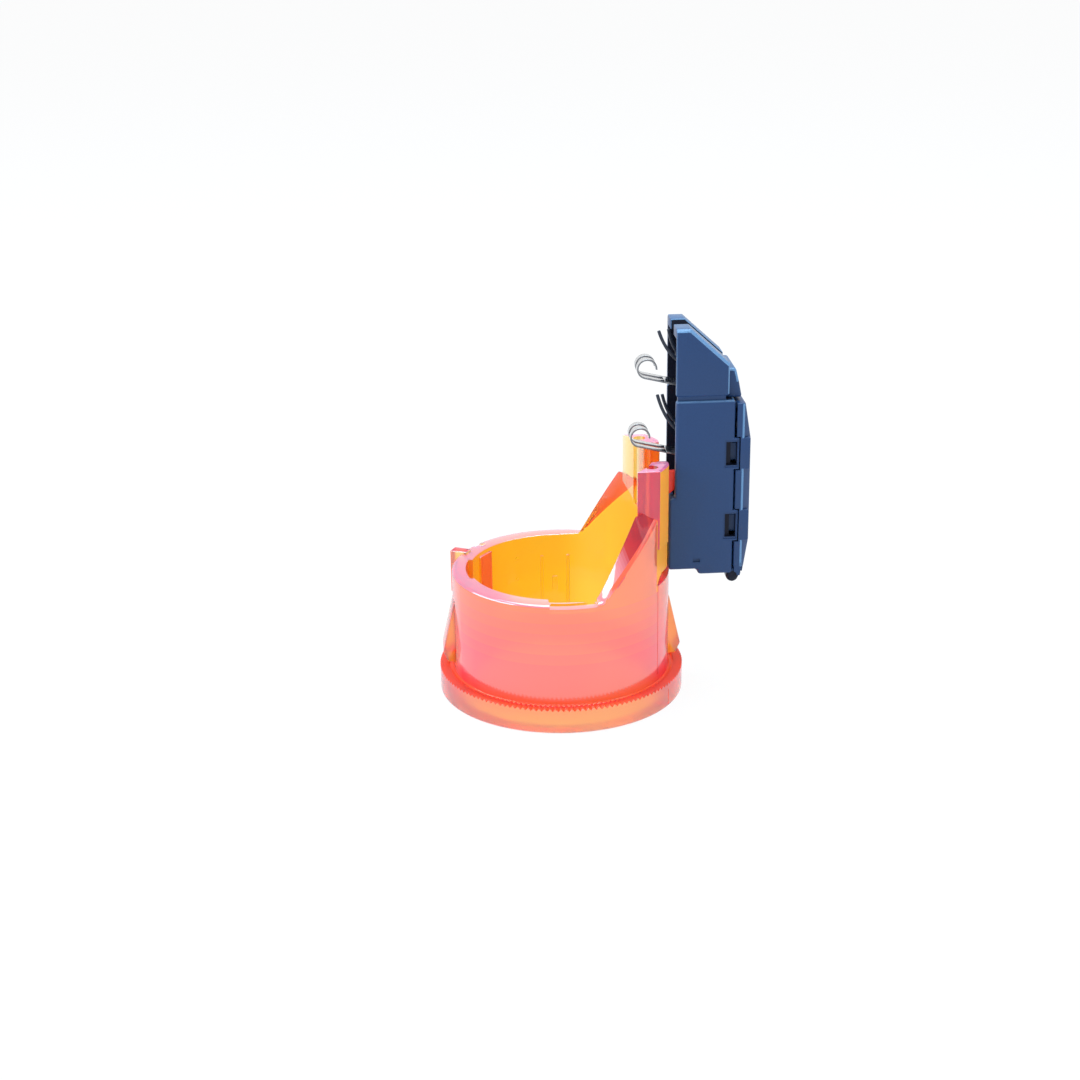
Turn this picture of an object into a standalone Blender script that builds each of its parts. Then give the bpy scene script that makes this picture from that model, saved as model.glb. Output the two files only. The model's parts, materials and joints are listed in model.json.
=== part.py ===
"""Snap-in light ring with a clip-on contact and lamp module.

A toothed flange carries a short round wall. On the +X side the wall climbs into two mirrored wings with
screw posts, and a flat seat between them takes the module. The module holds two sprung contacts, two guide
forks, a lamp and a hinged rear cover. Sizes are in metres, +Z is up and the part stands on its flange.
"""

import bmesh
import bpy
from math import asin, atan2, cos, hypot, pi, radians, sin
from mathutils import Matrix, Vector

MM = 0.001

# Fits
FIT = 0.2 * MM  # between pieces that are pushed or laid together
RUN = 0.1 * MM  # round a pin, rivet or lead
FLEX_ROOM = 0.3 * MM  # round a piece that bends
WELD = 0.0005 * MM  # points closer than this are one point
CUT_PAST = 1.0 * MM  # how far a cutter runs past the face it opens

# Ring: flange and wall
BODY_RADIUS = 13.7 * MM
BODY_WALL = 2.3 * MM
RIM_HEIGHT = 16.0 * MM
RIM_FILLET = 0.4 * MM
WALL_FOOT = 0.4 * MM  # the bore's lead-in at the flange
LEAD_IN = 1.2 * MM
FLANGE_LIP = 1.8 * MM
FLANGE_THICKNESS = 2.85 * MM
TOOTH_COUNT = 150
TOOTH_RISE = 0.45 * MM
TOOTH_DEPTH = 0.35 * MM
TOOTH_BAND = 1.15 * MM
COLUMN_ANGLE = radians(3.0)
STEP_ANGLE = radians(0.15)

# Ring: wings, posts and seat
WING_WALL = 1.5 * MM
WING_STEP_ANGLE = radians(78.0)
RAMP_START = 3.9 * MM  # X where the rim begins to climb
RAMP_INNER_SLOPE = 1.95
RAMP_OUTER_SLOPE = 1.12
POST_RISE = 14.6 * MM  # the posts' top above the rim
SHOULDER_DROP = 5.2 * MM  # the wings' shoulder below the posts' top
POST_ANGLE = radians(29.3)
POST_INSET = 1.36 * MM  # from the body's outside to the post's axis
POST_WIDTH = 3.7 * MM
POST_DEPTH = 4.0 * MM
POST_CORNER = 1.1 * MM
POST_LENGTH = 10.1 * MM
POST_WALL_ANGLE = radians(36.0)
PILOT_RADIUS = 0.75 * MM
PILOT_DEPTH = 9.0 * MM
SEAT_DEPTH = 0.75 * MM  # how far the flat seat cuts into the body
OPENING_DEPTH = 7.1 * MM
LEDGE_RISE = 0.3 * MM  # the ledge under the module, above the rim
GROOVE_HEIGHT = 0.9 * MM
GROOVE_DEPTH = 0.8 * MM
GROOVE_ANGLE = radians(47.0)
HOOK_THICKNESS = 0.8 * MM
HOOK_HEIGHT = 3.0 * MM
HOOK_REACH = 1.6 * MM
HOOK_TAPER = 1.2 * MM
HOOK_DROP = 1.5 * MM  # below the posts' top
HOOK_GRIP = 0.2 * MM  # how far the hook runs into the wing

# Ring: snap tongues, key rib, pocket and rim notch
TONGUE_WIDTH = 4.0 * MM
TONGUE_THICKNESS = 1.2 * MM
TONGUE_TOP_DROP = 3.8 * MM  # below the rim
TONGUE_FOOT_GAP = 0.6 * MM  # above its window's foot
TONGUE_PIVOT_DROP = 0.5 * MM
BARB_REACH = 1.4 * MM
BARB_RISE = 1.4 * MM
BARB_UNDERCUT = 0.6 * MM
WINDOW_RISE = 0.75 * MM  # above the flange
POCKET_WIDTH = 6.4 * MM
POCKET_DEPTH = 0.5 * MM
KEY_ANGLE = radians(154.0)
KEY_RISE = 1.3 * MM
KEY_WIDTH = 1.2 * MM
KEY_HEIGHT = 5.0 * MM
NOTCH_START = -2.45 * MM
NOTCH_END = 3.4 * MM
NOTCH_DEPTH = 0.45 * MM

# Module housing, X from the seat and Z from the ledge
MODULE_WIDTH = 9.0 * MM
MODULE_WALL = 0.9 * MM
TOP_ROOM = 7.78 * MM  # from the upper contact to the module's top
REAR_ROOM = 3.1 * MM  # from the terminals to the joint with the cover
FRONT_LIP = 0.75 * MM
UPPER_INSET = 0.25 * MM
CREASE_DROP = 0.82 * MM  # below the upper contact
CREASE_STEP = 0.75 * MM
CREASE_SLOPE = 0.5 * MM
SLOPE_START = 2.5 * MM
SLOPE_FALL = 4.35 * MM
TOP_CHAMFER = 0.6 * MM
FOOT_STEP = 0.7 * MM
FOOT_STEP_SLANT = 0.23 * MM
FOOT_STEP_START = 3.75 * MM
TOP_SLOT_WIDTH = 2.5 * MM
HOOD_WIDTH = 6.6 * MM
HOOD_REACH = 2.0 * MM
HOOD_SHOULDER = 0.9 * MM
HOOD_BOW = 0.4 * MM  # how far its rear leans in at the bend
HOOD_BEND = 0.55  # share of its height
EAR_REACH = 0.55 * MM
EAR_HEIGHT = 4.0 * MM
EAR_RISE = 5.65 * MM  # the lower pair above the module's foot
EAR_DROP = 7.05 * MM  # the upper pair below the crease
EAR_FRAME = 0.5 * MM  # left above and below its latch window
LATCH_WINDOW_DEPTH = 1.35 * MM
LATCH_WINDOW_EDGE = 0.25 * MM
LAMP_HEIGHT = 4.6 * MM

# Rear cover and its hinge
COVER_DEPTH = 2.0 * MM
COVER_WALL = 0.8 * MM
COVER_CHAMFER = 1.1 * MM
COVER_TOP_SLOPE = 4.9 * MM
COVER_FOOT_SLOPE = 3.8 * MM
COVER_TOP_SETBACK = 0.9 * MM
COVER_FOOT_SETBACK = 0.45 * MM
COVER_GAP = 0.15 * MM
HINGE_DROP = 0.95 * MM  # hinge axis below the module's foot
KNUCKLE_RADIUS = 0.8 * MM
HOUSING_KNUCKLE_WIDTH = 1.7 * MM
KNUCKLE_INSET = 0.4 * MM  # from the housing's side
PIN_RADIUS = 0.35 * MM
LATCH_ARM_THICKNESS = 0.7 * MM
LATCH_ARM_ROOM = 0.4 * MM  # above and below it in its window
LATCH_ARM_REACH = 0.45 * MM

# Contacts, forks and their carrier
CONTACT_PITCH = 8.87 * MM
LOWER_CONTACT_RISE = 4.55 * MM  # above the module's front lip
HOOK_ROOM = 0.45 * MM  # from the hook's end to the carrier
CARRIER_DEPTH = 2.4 * MM
CARRIER_RISE = 0.7 * MM  # above the front lip
STRIP_WIDTH = 2.8 * MM
STRIP_THICKNESS = 0.22 * MM
STRIP_SLIT = 0.8 * MM
STRIP_PITCH = radians(13.5)
STRIP_TAIL = 0.35 * MM
SLIT_END = 1.6 * MM  # from the carrier's face
CURL_TURN = radians(262.0)
CURL_STEPS = 13
CURL_RADIUS = 1.15 * MM
UPPER_STRIP_LENGTH = 4.96 * MM
LOWER_STRIP_LENGTH = 5.77 * MM
SLOT_ROOM = 0.55 * MM  # above a spring, and below its terminal
PIVOT_SETBACK = 0.25 * MM  # flexing pieces turn this far inside the carrier's face
FORK_RISE = 3.05 * MM  # above its contact
FORK_SIDE_ROOM = 1.1 * MM  # from the housing's side to the finger
FORK_FINGER_WIDTH = 0.7 * MM
FORK_THICKNESS = 0.35 * MM
FORK_TAIL = 0.5 * MM
FORK_STEPS = 6
FORK_BEND = (0.7, 0.25)  # the finger's curve aims at these shares of its reach and rise
UPPER_NEAR_REACH = 2.4 * MM
UPPER_NEAR_RISE = 4.2 * MM
UPPER_FAR_REACH = 2.7 * MM
UPPER_FAR_RISE = 3.0 * MM
LOWER_NEAR_REACH = 2.8 * MM
LOWER_NEAR_RISE = 5.1 * MM
LOWER_FAR_REACH = 2.8 * MM
LOWER_FAR_RISE = 3.8 * MM

# Terminals and rivets
TERMINAL_THICKNESS = 0.55 * MM
TERMINAL_LEG_GAP = 0.3 * MM  # beside the other terminal's tongue
TERMINAL_TAG_RISE = 1.6 * MM  # its foot above the module's front lip
TERMINAL_STRAP = 1.2 * MM
RIVET_RADIUS = 0.45 * MM
RIVET_HEAD_RADIUS = 0.8 * MM
RIVET_HEAD = 0.4 * MM
RIVET_SHANK = 1.0 * MM
UPPER_RIVET_DROP = 3.2 * MM
LOWER_RIVET_DROP = 1.6 * MM

# Lamp
LAMP_RADIUS = 1.5 * MM
LAMP_COLLAR_RADIUS = 1.75 * MM
LAMP_COLLAR = 0.7 * MM
LAMP_DOME = 1.35 * MM
LAMP_FLAT = 0.075 * MM
DOME_STEPS = 6
LEAD_SPACING = 2.54 * MM
LEAD_RADIUS = 0.22 * MM
LEAD_TAIL = 0.6 * MM
BOARD_THICKNESS = 0.8 * MM
BOARD_SETBACK = 0.15 * MM  # behind the carrier
BOARD_TOP_GAP = 0.7 * MM  # below the module's front lip
RESISTOR_LENGTH = 3.2 * MM
RESISTOR_HEIGHT = 1.6 * MM
RESISTOR_THICKNESS = 0.55 * MM
RESISTOR_RISE = 1.7 * MM  # above the lamp's leads
LINK_RADIUS = 0.25 * MM

# Places worked out from the sizes above
BORE_RADIUS = BODY_RADIUS - BODY_WALL
WING_BORE = BODY_RADIUS - WING_WALL
FLANGE_RADIUS = BODY_RADIUS + FLANGE_LIP
LEDGE_HEIGHT = RIM_HEIGHT + LEDGE_RISE
POST_TOP = RIM_HEIGHT + POST_RISE
SHOULDER_HEIGHT = POST_TOP - SHOULDER_DROP
POST_X = (BODY_RADIUS - POST_INSET) * cos(POST_ANGLE)
POST_Y = (BODY_RADIUS - POST_INSET) * sin(POST_ANGLE)
WINDOW_FOOT = FLANGE_THICKNESS + WINDOW_RISE
TONGUE_FOOT = WINDOW_FOOT + TONGUE_FOOT_GAP
TONGUE_TOP = RIM_HEIGHT - TONGUE_TOP_DROP
SEAT_X = BODY_RADIUS - SEAT_DEPTH
HOOK_TOP = POST_TOP - HOOK_DROP
HOOK_FOOT = HOOK_TOP - HOOK_HEIGHT
HOOK_END = SEAT_X + HOOK_REACH

MODULE_X = SEAT_X + FIT
MODULE_FOOT = LEDGE_HEIGHT + FIT
LIP_X = MODULE_X + FRONT_LIP
LIP_TOP = HOOK_FOOT - FIT
CARRIER_X = HOOK_END + HOOK_ROOM
CARRIER_REAR = CARRIER_X + CARRIER_DEPTH
TERMINAL_X = CARRIER_REAR + RUN
FLEX_X = CARRIER_X + PIVOT_SETBACK
MODULE_REAR = TERMINAL_X + TERMINAL_THICKNESS + REAR_ROOM
UPPER_REAR = MODULE_REAR - CREASE_STEP
LOWER_CONTACT = Vector((FLEX_X, 0, LIP_TOP + LOWER_CONTACT_RISE))
UPPER_CONTACT = LOWER_CONTACT + Vector((0, 0, CONTACT_PITCH))
MODULE_TOP = UPPER_CONTACT.z + TOP_ROOM
CREASE_Z = UPPER_CONTACT.z - CREASE_DROP
ROOF_START = MODULE_X + SLOPE_START
ROOF_SLOPE = SLOPE_FALL / (UPPER_REAR - ROOF_START)
ROOF_WALL = MODULE_WALL * hypot(1, ROOF_SLOPE)  # measured straight up
SIDE_INSIDE = MODULE_WIDTH / 2 - MODULE_WALL
INSERT_HALF = SIDE_INSIDE - FIT  # half the width of what slides in between the sides
LATCH_WINDOW_HEIGHT = EAR_HEIGHT - 2 * EAR_FRAME

COVER_FRONT = MODULE_REAR + COVER_GAP
COVER_FACE = COVER_FRONT + COVER_DEPTH
COVER_TOP = CREASE_Z - CREASE_SLOPE - COVER_GAP
HINGE = Vector((COVER_FRONT, 0, MODULE_FOOT - HINGE_DROP))
PIN_REACH = MODULE_WIDTH / 2 - KNUCKLE_INSET
COVER_BARREL_HALF = PIN_REACH - HOUSING_KNUCKLE_WIDTH - FIT

TONGUE_HALF = STRIP_WIDTH / 2 - RUN  # of a terminal's tongue
TERMINAL_LEG_WIDTH = INSERT_HALF - TONGUE_HALF - TERMINAL_LEG_GAP
TERMINAL_FOOT = LIP_TOP + TERMINAL_TAG_RISE
BOARD_X = CARRIER_REAR + BOARD_SETBACK
BOARD_FOOT = MODULE_FOOT + MODULE_WALL + FIT
BOARD_TOP = LIP_TOP - BOARD_TOP_GAP
LAMP_X = MODULE_X + RUN
LAMP_LENGTH = BOARD_X - FIT - LAMP_COLLAR - LAMP_X  # dome and barrel, without the collar
LAMP_Z = MODULE_FOOT + LAMP_HEIGHT
FRAME_SHIFT = (FLANGE_RADIUS - COVER_FACE) / 2  # the ring's axis, from the middle of the whole part

CONTACTS = {"upper": (UPPER_CONTACT, UPPER_STRIP_LENGTH), "lower": (LOWER_CONTACT, LOWER_STRIP_LENGTH)}
UPPER_FINGERS = {"near": (UPPER_NEAR_REACH, UPPER_NEAR_RISE), "far": (UPPER_FAR_REACH, UPPER_FAR_RISE)}
LOWER_FINGERS = {"near": (LOWER_NEAR_REACH, LOWER_NEAR_RISE), "far": (LOWER_FAR_REACH, LOWER_FAR_RISE)}
FORKS = {"upper": (UPPER_CONTACT, UPPER_FINGERS), "lower": (LOWER_CONTACT, LOWER_FINGERS)}
TERMINALS = {"upper": (UPPER_CONTACT, 1, UPPER_RIVET_DROP), "lower": (LOWER_CONTACT, -1, LOWER_RIVET_DROP)}
SIDES = {"near": -1, "far": 1}  # along Y, seen from the side that the module's hook is on

COLOURS = {
    "amber": ((0.90, 0.24, 0.05), 0.18, 0.0),
    "black": ((0.02, 0.03, 0.05), 0.35, 0.0),
    "silver": ((0.80, 0.81, 0.82), 0.22, 1.0),
    "brass": ((0.78, 0.58, 0.28), 0.30, 1.0),
    "board": ((0.05, 0.22, 0.11), 0.45, 0.0),
    "clear": ((0.92, 0.88, 0.78), 0.08, 0.0),
    "ceramic": ((0.10, 0.10, 0.11), 0.50, 0.0),
}


def clear_scene():
    for obj in list(bpy.data.objects):
        bpy.data.objects.remove(obj, do_unlink=True)
    for collection in list(bpy.data.collections):
        bpy.data.collections.remove(collection)


def material_for(node, finish):
    colour, roughness, metallic = COLOURS[finish]
    material = bpy.data.materials.new(node)
    material.use_nodes = True
    shader = material.node_tree.nodes["Principled BSDF"]
    shader.inputs["Base Color"].default_value = (*colour, 1.0)
    shader.inputs["Roughness"].default_value = roughness
    shader.inputs["Metallic"].default_value = metallic
    return material


def mesh_object(mesh):
    obj = bpy.data.objects.new(mesh.name, mesh)
    PARTS.objects.link(obj)
    return obj


def from_bmesh(bm, name="shape"):
    bmesh.ops.recalc_face_normals(bm, faces=bm.faces)
    mesh = bpy.data.meshes.new(name)
    bm.to_mesh(mesh)
    bm.free()
    return mesh_object(mesh)


def evaluated(obj):
    """The object's mesh with its modifiers in it, welded, in place of the object."""
    bpy.context.view_layer.update()
    graph = bpy.context.evaluated_depsgraph_get()
    mesh = bpy.data.meshes.new_from_object(obj.evaluated_get(graph))
    mesh.transform(obj.matrix_world)
    bpy.data.objects.remove(obj, do_unlink=True)
    bm = bmesh.new()
    bm.from_mesh(mesh)
    bmesh.ops.remove_doubles(bm, verts=bm.verts, dist=WELD)
    bmesh.ops.dissolve_degenerate(bm, edges=bm.edges, dist=WELD)
    bm.to_mesh(mesh)
    bm.free()
    return mesh_object(mesh)


def combined(target, tool, operation):
    modifier = target.modifiers.new("boolean", "BOOLEAN")
    modifier.operation = operation
    modifier.solver = "EXACT"
    modifier.object = tool
    result = evaluated(target)
    bpy.data.objects.remove(tool, do_unlink=True)
    return result


def cut(target, *tools):
    for tool in tools:
        target = combined(target, tool, "DIFFERENCE")
    return target


def fused(target, *tools):
    for tool in tools:
        target = combined(target, tool, "UNION")
    return target


def box(low, high):
    bm = bmesh.new()
    low, high = Vector(low), Vector(high)
    bmesh.ops.create_cube(bm, size=1.0)
    bmesh.ops.scale(bm, verts=bm.verts, vec=high - low)
    bmesh.ops.translate(bm, verts=bm.verts, vec=(low + high) / 2)
    return from_bmesh(bm)


def mirrored_boxes(low, high):
    """A box, and its mirror image across the plane Y = 0."""
    return box(low, high), box((low[0], -high[1], low[2]), (high[0], -low[1], high[2]))


def rod(start, end, radius, sides=24, end_radius=None):
    """A round bar or cone from one point to another."""
    start, end = Vector(start), Vector(end)
    along = end - start
    bm = bmesh.new()
    bmesh.ops.create_cone(
        bm,
        cap_ends=True,
        cap_tris=True,
        segments=sides,
        radius1=radius,
        radius2=radius if end_radius is None else end_radius,
        depth=along.length,
    )
    turn = Vector((0, 0, 1)).rotation_difference(along).to_matrix().to_4x4()
    bm.transform(Matrix.Translation((start + end) / 2) @ turn)
    return from_bmesh(bm)


def outline_plate(outline, low, high, upright=True):
    """A flat outline given a thickness: in X and Z across Y when upright, else in X and Y up Z."""
    curve = bpy.data.curves.new("outline", "CURVE")
    curve.dimensions = "2D"
    curve.fill_mode = "BOTH"
    curve.extrude = (high - low) / 2
    spline = curve.splines.new("POLY")
    spline.use_cyclic_u = True
    spline.points.add(len(outline) - 1)
    for point, (across, along) in zip(spline.points, outline):
        point.co = (across, along, 0, 1)
    obj = bpy.data.objects.new("outline", curve)
    PARTS.objects.link(obj)
    middle = (low + high) / 2
    if upright:
        obj.rotation_euler = (pi / 2, 0, 0)
        obj.location = (0, middle, 0)
    else:
        obj.location = (0, 0, middle)
    return evaluated(obj)


def ribbon(path, width, thickness, middle=0.0):
    """A strip that follows a path in X and Z, with its width across Y."""
    curve = bpy.data.curves.new("ribbon", "CURVE")
    curve.dimensions = "2D"
    curve.fill_mode = "NONE"
    curve.extrude = width / 2
    spline = curve.splines.new("POLY")
    spline.points.add(len(path) - 1)
    for point, (across, along) in zip(spline.points, path):
        point.co = (across, along, 0, 1)
    obj = bpy.data.objects.new("ribbon", curve)
    PARTS.objects.link(obj)
    obj.rotation_euler = (pi / 2, 0, 0)
    obj.location = (0, middle, 0)
    sheet = evaluated(obj)
    solidify = sheet.modifiers.new("thickness", "SOLIDIFY")
    solidify.thickness = thickness
    solidify.offset = 0
    solidify.use_even_offset = True
    return evaluated(sheet)


def turned(profile, steps):
    """A closed profile of radius and height, turned about the Z axis."""
    bm = bmesh.new()
    points = [bm.verts.new((radius, 0, height)) for radius, height in profile]
    for first, second in zip(points, points[1:] + points[:1]):
        bm.edges.new((first, second))
    mesh = bpy.data.meshes.new("profile")
    bm.to_mesh(mesh)
    bm.free()
    obj = mesh_object(mesh)
    screw = obj.modifiers.new("turn", "SCREW")
    screw.steps = steps
    screw.render_steps = steps
    screw.use_merge_vertices = True
    screw.merge_threshold = WELD
    solid = evaluated(obj)
    bm = bmesh.new()
    bm.from_mesh(solid.data)
    bmesh.ops.recalc_face_normals(bm, faces=bm.faces)
    bm.to_mesh(solid.data)
    bm.free()
    return solid


def arc(centre, radius, start, turn, steps):
    """Points along an arc, both ends included, in any plane's two coordinates."""
    angles = (start + turn * step / steps for step in range(steps + 1))
    return [(centre[0] + radius * cos(a), centre[1] + radius * sin(a)) for a in angles]


def sector(inner, outer, half_angle, steps=22):
    """An outline in X and Y: part of an annulus that is centred on +X."""
    outside = arc((0, 0), outer, -half_angle, 2 * half_angle, steps)
    return outside + arc((0, 0), inner, half_angle, -2 * half_angle, steps)


def rounded_outline(width, depth, corner, centre, steps=4):
    corners = ((1, 1, 0), (-1, 1, pi / 2), (-1, -1, pi), (1, -1, 3 * pi / 2))
    points = []
    for side_x, side_y, start in corners:
        middle = (centre[0] + side_x * (width / 2 - corner), centre[1] + side_y * (depth / 2 - corner))
        points += arc(middle, corner, start, pi / 2, steps)
    return points


def finish_node(obj, name, finish, pivot=(0, 0, 0)):
    """Names the piece, gives it its material and puts its origin on its pivot."""
    obj.name = name
    obj.data.name = name
    obj.data.transform(Matrix.Translation(-Vector(pivot)))
    obj.location = pivot
    obj.parent = BENCH
    obj.data.materials.clear()
    obj.data.materials.append(material_for(name, finish))
    obj.data.shade_smooth()
    obj.data.set_sharp_from_angle(angle=radians(30))
    return obj


def toothed_flange():
    """The flange with a band of radial teeth on its rear face."""
    tip = FLANGE_THICKNESS + TOOTH_RISE
    band = FLANGE_RADIUS - TOOTH_BAND
    inside = BORE_RADIUS + LEAD_IN
    profile = [
        (FLANGE_RADIUS, tip),
        (FLANGE_RADIUS, 0),
        (inside, 0),
        (inside, FLANGE_THICKNESS),
        (band, FLANGE_THICKNESS),
        (band, tip),
    ]
    flange = turned(profile, 2 * TOOTH_COUNT)
    for vertex in flange.data.vertices:
        half_pitch = round(atan2(vertex.co.y, vertex.co.x) * TOOTH_COUNT / pi)
        if vertex.co.z > tip - TOOTH_DEPTH / 2 and half_pitch % 2:
            vertex.co.z -= TOOTH_DEPTH
    return flange


def rim_heights(angle):
    """The wall's height at its outer and inner edge, climbing to the shoulder and the post's plate."""
    if abs(angle) <= POST_WALL_ANGLE:
        return POST_TOP - FIT, POST_TOP - FIT
    heights = []
    for radius, slope in ((BODY_RADIUS, RAMP_OUTER_SLOPE), (WING_BORE, RAMP_INNER_SLOPE)):
        climb = max(0.0, radius * cos(angle) - RAMP_START) * slope
        heights.append(min(RIM_HEIGHT + climb, SHOULDER_HEIGHT))
    return heights


def bore_at(angle):
    if abs(angle) < WING_STEP_ANGLE:
        return WING_BORE
    if pi - abs(angle) < asin(POCKET_WIDTH / 2 / BORE_RADIUS):
        return BORE_RADIUS + POCKET_DEPTH
    return BORE_RADIUS


def wall_angles():
    """Even columns round the ring, and a close pair at each step in its section."""
    steps = (WING_STEP_ANGLE, pi - asin(POCKET_WIDTH / 2 / BORE_RADIUS), POST_WALL_ANGLE)
    pairs = [side * (step + STEP_ANGLE * way) for step in steps for side in (-1, 1) for way in (-1, 1)]
    count = round(2 * pi / COLUMN_ANGLE)
    even = [-pi + COLUMN_ANGLE * (column + 0.5) for column in range(count)]
    clear = [a for a in even if all(abs(a - pair) > 3 * STEP_ANGLE for pair in pairs)]
    return sorted(clear + pairs)


def ring_wall():
    """The round wall and its wings, as a loft of sections that stand round the axis."""
    bm = bmesh.new()
    columns = []
    for angle in wall_angles():
        outer_top, inner_top = rim_heights(angle)
        soft = RIM_FILLET * (1 - cos(pi / 4))
        section = [
            (bore_at(angle), WALL_FOOT),
            (BODY_RADIUS, WALL_FOOT),
            (BODY_RADIUS, outer_top - RIM_FILLET),
            (BODY_RADIUS - soft, outer_top - soft),
            (BODY_RADIUS - RIM_FILLET, outer_top),
            (bore_at(angle), inner_top),
        ]
        columns.append([bm.verts.new((r * cos(angle), r * sin(angle), z)) for r, z in section])
    for column, following in zip(columns, columns[1:] + columns[:1]):
        for corner in range(len(column)):
            bm.faces.new((column[corner - 1], following[corner - 1], following[corner], column[corner]))
    return from_bmesh(bm)


def screw_posts():
    for side in SIDES.values():
        plan = rounded_outline(POST_WIDTH, POST_DEPTH, POST_CORNER, (POST_X, side * POST_Y))
        yield outline_plate(plan, POST_TOP - POST_LENGTH, POST_TOP, upright=False)


def module_hook():
    """The hook on the near wing that holds the module's front lip down."""
    root = WING_BORE + FIT
    outline = [
        (root, HOOK_FOOT),
        (SEAT_X + FIT, HOOK_FOOT),
        (HOOK_END, HOOK_FOOT + HOOK_TAPER),
        (HOOK_END, HOOK_TOP),
        (root, HOOK_TOP),
    ]
    return outline_plate(outline, -INSERT_HALF, HOOK_THICKNESS - INSERT_HALF)


def pilot_holes():
    for side in SIDES.values():
        top = Vector((POST_X, side * POST_Y, POST_TOP))
        yield rod(top - Vector((0, 0, PILOT_DEPTH)), top + Vector((0, 0, CUT_PAST)), PILOT_RADIUS)


def tongue_windows():
    half = TONGUE_WIDTH / 2 + FLEX_ROOM
    top = TONGUE_TOP + FLEX_ROOM
    for side in (-1, 1):
        ends = sorted((side * (BORE_RADIUS - CUT_PAST), side * FLANGE_RADIUS))
        yield box((ends[0], -half, WINDOW_FOOT), (ends[1], half, top))


def light_ring():
    ring = fused(toothed_flange(), ring_wall())
    key = box(
        (BODY_RADIUS - BODY_WALL / 2, -KEY_WIDTH / 2, RIM_HEIGHT - KEY_HEIGHT - RIM_FILLET),
        (BODY_RADIUS + KEY_RISE, KEY_WIDTH / 2, RIM_HEIGHT - RIM_FILLET),
    )
    key.data.transform(Matrix.Rotation(KEY_ANGLE, 4, "Z"))
    ring = fused(ring, *screw_posts(), key)
    reach = 2 * BODY_RADIUS
    above = POST_TOP + CUT_PAST
    seat = box((SEAT_X, -reach, LEDGE_HEIGHT), (reach, reach, above))
    gap = INSERT_HALF - HOOK_GRIP
    opening = box((0, -gap, POST_TOP - OPENING_DEPTH), (reach, gap, above))
    groove = outline_plate(
        sector(BODY_RADIUS - GROOVE_DEPTH, reach, GROOVE_ANGLE),
        LEDGE_HEIGHT,
        LEDGE_HEIGHT + GROOVE_HEIGHT,
        upright=False,
    )
    notch = box((NOTCH_START, -reach, RIM_HEIGHT - NOTCH_DEPTH), (NOTCH_END, 0, RIM_HEIGHT + CUT_PAST))
    ring = cut(ring, opening, seat, groove, notch, *tongue_windows(), *pilot_holes())
    ring = fused(ring, module_hook())
    return finish_node(ring, "light_ring", "amber")


def snap_tongue(name, side):
    """A springy tongue with a barb, hung from its top edge in the wall's window."""
    outside = BODY_RADIUS - RUN
    inside = outside - TONGUE_THICKNESS
    tip = BODY_RADIUS + BARB_REACH
    outline = [
        (inside, TONGUE_TOP),
        (outside, TONGUE_TOP),
        (tip, TONGUE_FOOT + BARB_RISE),
        (tip - BARB_UNDERCUT, TONGUE_FOOT + RUN),
        (outside, TONGUE_FOOT),
        (inside, TONGUE_FOOT),
    ]
    placed = [(side * x, z) for x, z in outline]
    tongue = outline_plate(placed, -TONGUE_WIDTH / 2, TONGUE_WIDTH / 2)
    pivot = (side * (inside + outside) / 2, 0, TONGUE_TOP - TONGUE_PIVOT_DROP)
    return finish_node(tongue, name, "amber", pivot)


def slope_at(x):
    """The height of the housing's sloping roof."""
    return MODULE_TOP - max(0.0, x - ROOF_START) * ROOF_SLOPE


def housing_outline():
    step = MODULE_X + FOOT_STEP_START
    return [
        (LIP_X, MODULE_TOP - TOP_CHAMFER),
        (LIP_X + TOP_CHAMFER, MODULE_TOP),
        (ROOF_START, MODULE_TOP),
        (UPPER_REAR, slope_at(UPPER_REAR)),
        (UPPER_REAR, CREASE_Z),
        (MODULE_REAR, CREASE_Z - CREASE_SLOPE),
        (MODULE_REAR, MODULE_FOOT - FOOT_STEP),
        (step, MODULE_FOOT - FOOT_STEP),
        (step - FOOT_STEP_SLANT, MODULE_FOOT),
        (MODULE_X, MODULE_FOOT),
        (MODULE_X, LIP_TOP),
        (LIP_X, LIP_TOP),
    ]


def housing_cavity():
    """The room inside, open to the front above the lip and to the rear below the crease."""
    floor = MODULE_FOOT + MODULE_WALL
    rear = UPPER_REAR - MODULE_WALL
    ceiling = CREASE_Z - CREASE_SLOPE - MODULE_WALL
    return [
        (LIP_X, floor),
        (COVER_FACE, floor),
        (COVER_FACE, ceiling),
        (rear, ceiling),
        (rear, slope_at(rear) - ROOF_WALL),
        (ROOF_START, MODULE_TOP - ROOF_WALL),
        (SEAT_X - FIT, MODULE_TOP - ROOF_WALL),
        (SEAT_X - FIT, LIP_TOP),
        (LIP_X, LIP_TOP),
    ]


def hood_side(front, foot, rear, shoulder, top):
    """The hood's side view: its rear leans in above the bend and then runs to the shoulder."""
    bend = (rear - HOOD_BOW, foot + (top - foot) * HOOD_BEND)
    return [(front, foot), (rear, foot), bend, (shoulder, top), (front, top)]


def hood_outline():
    """The wire hood behind the upper wall."""
    shoulder = UPPER_REAR + HOOD_SHOULDER
    foot = CREASE_Z - CREASE_SLOPE / 2
    return hood_side(
        UPPER_REAR - MODULE_WALL / 2, foot, UPPER_REAR + HOOD_REACH, shoulder, slope_at(shoulder)
    )


def hood_hollow():
    """The hood's inside, open below and to the room in front of it."""
    rear = UPPER_REAR + HOOD_REACH - MODULE_WALL
    shoulder = UPPER_REAR + HOOD_SHOULDER - MODULE_WALL / 2
    foot = CREASE_Z - CREASE_SLOPE / 2 - MODULE_WALL
    top = slope_at(UPPER_REAR + HOOD_SHOULDER) - ROOF_WALL
    return hood_side(UPPER_REAR - 2 * MODULE_WALL, foot, rear, shoulder, top)


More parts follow.
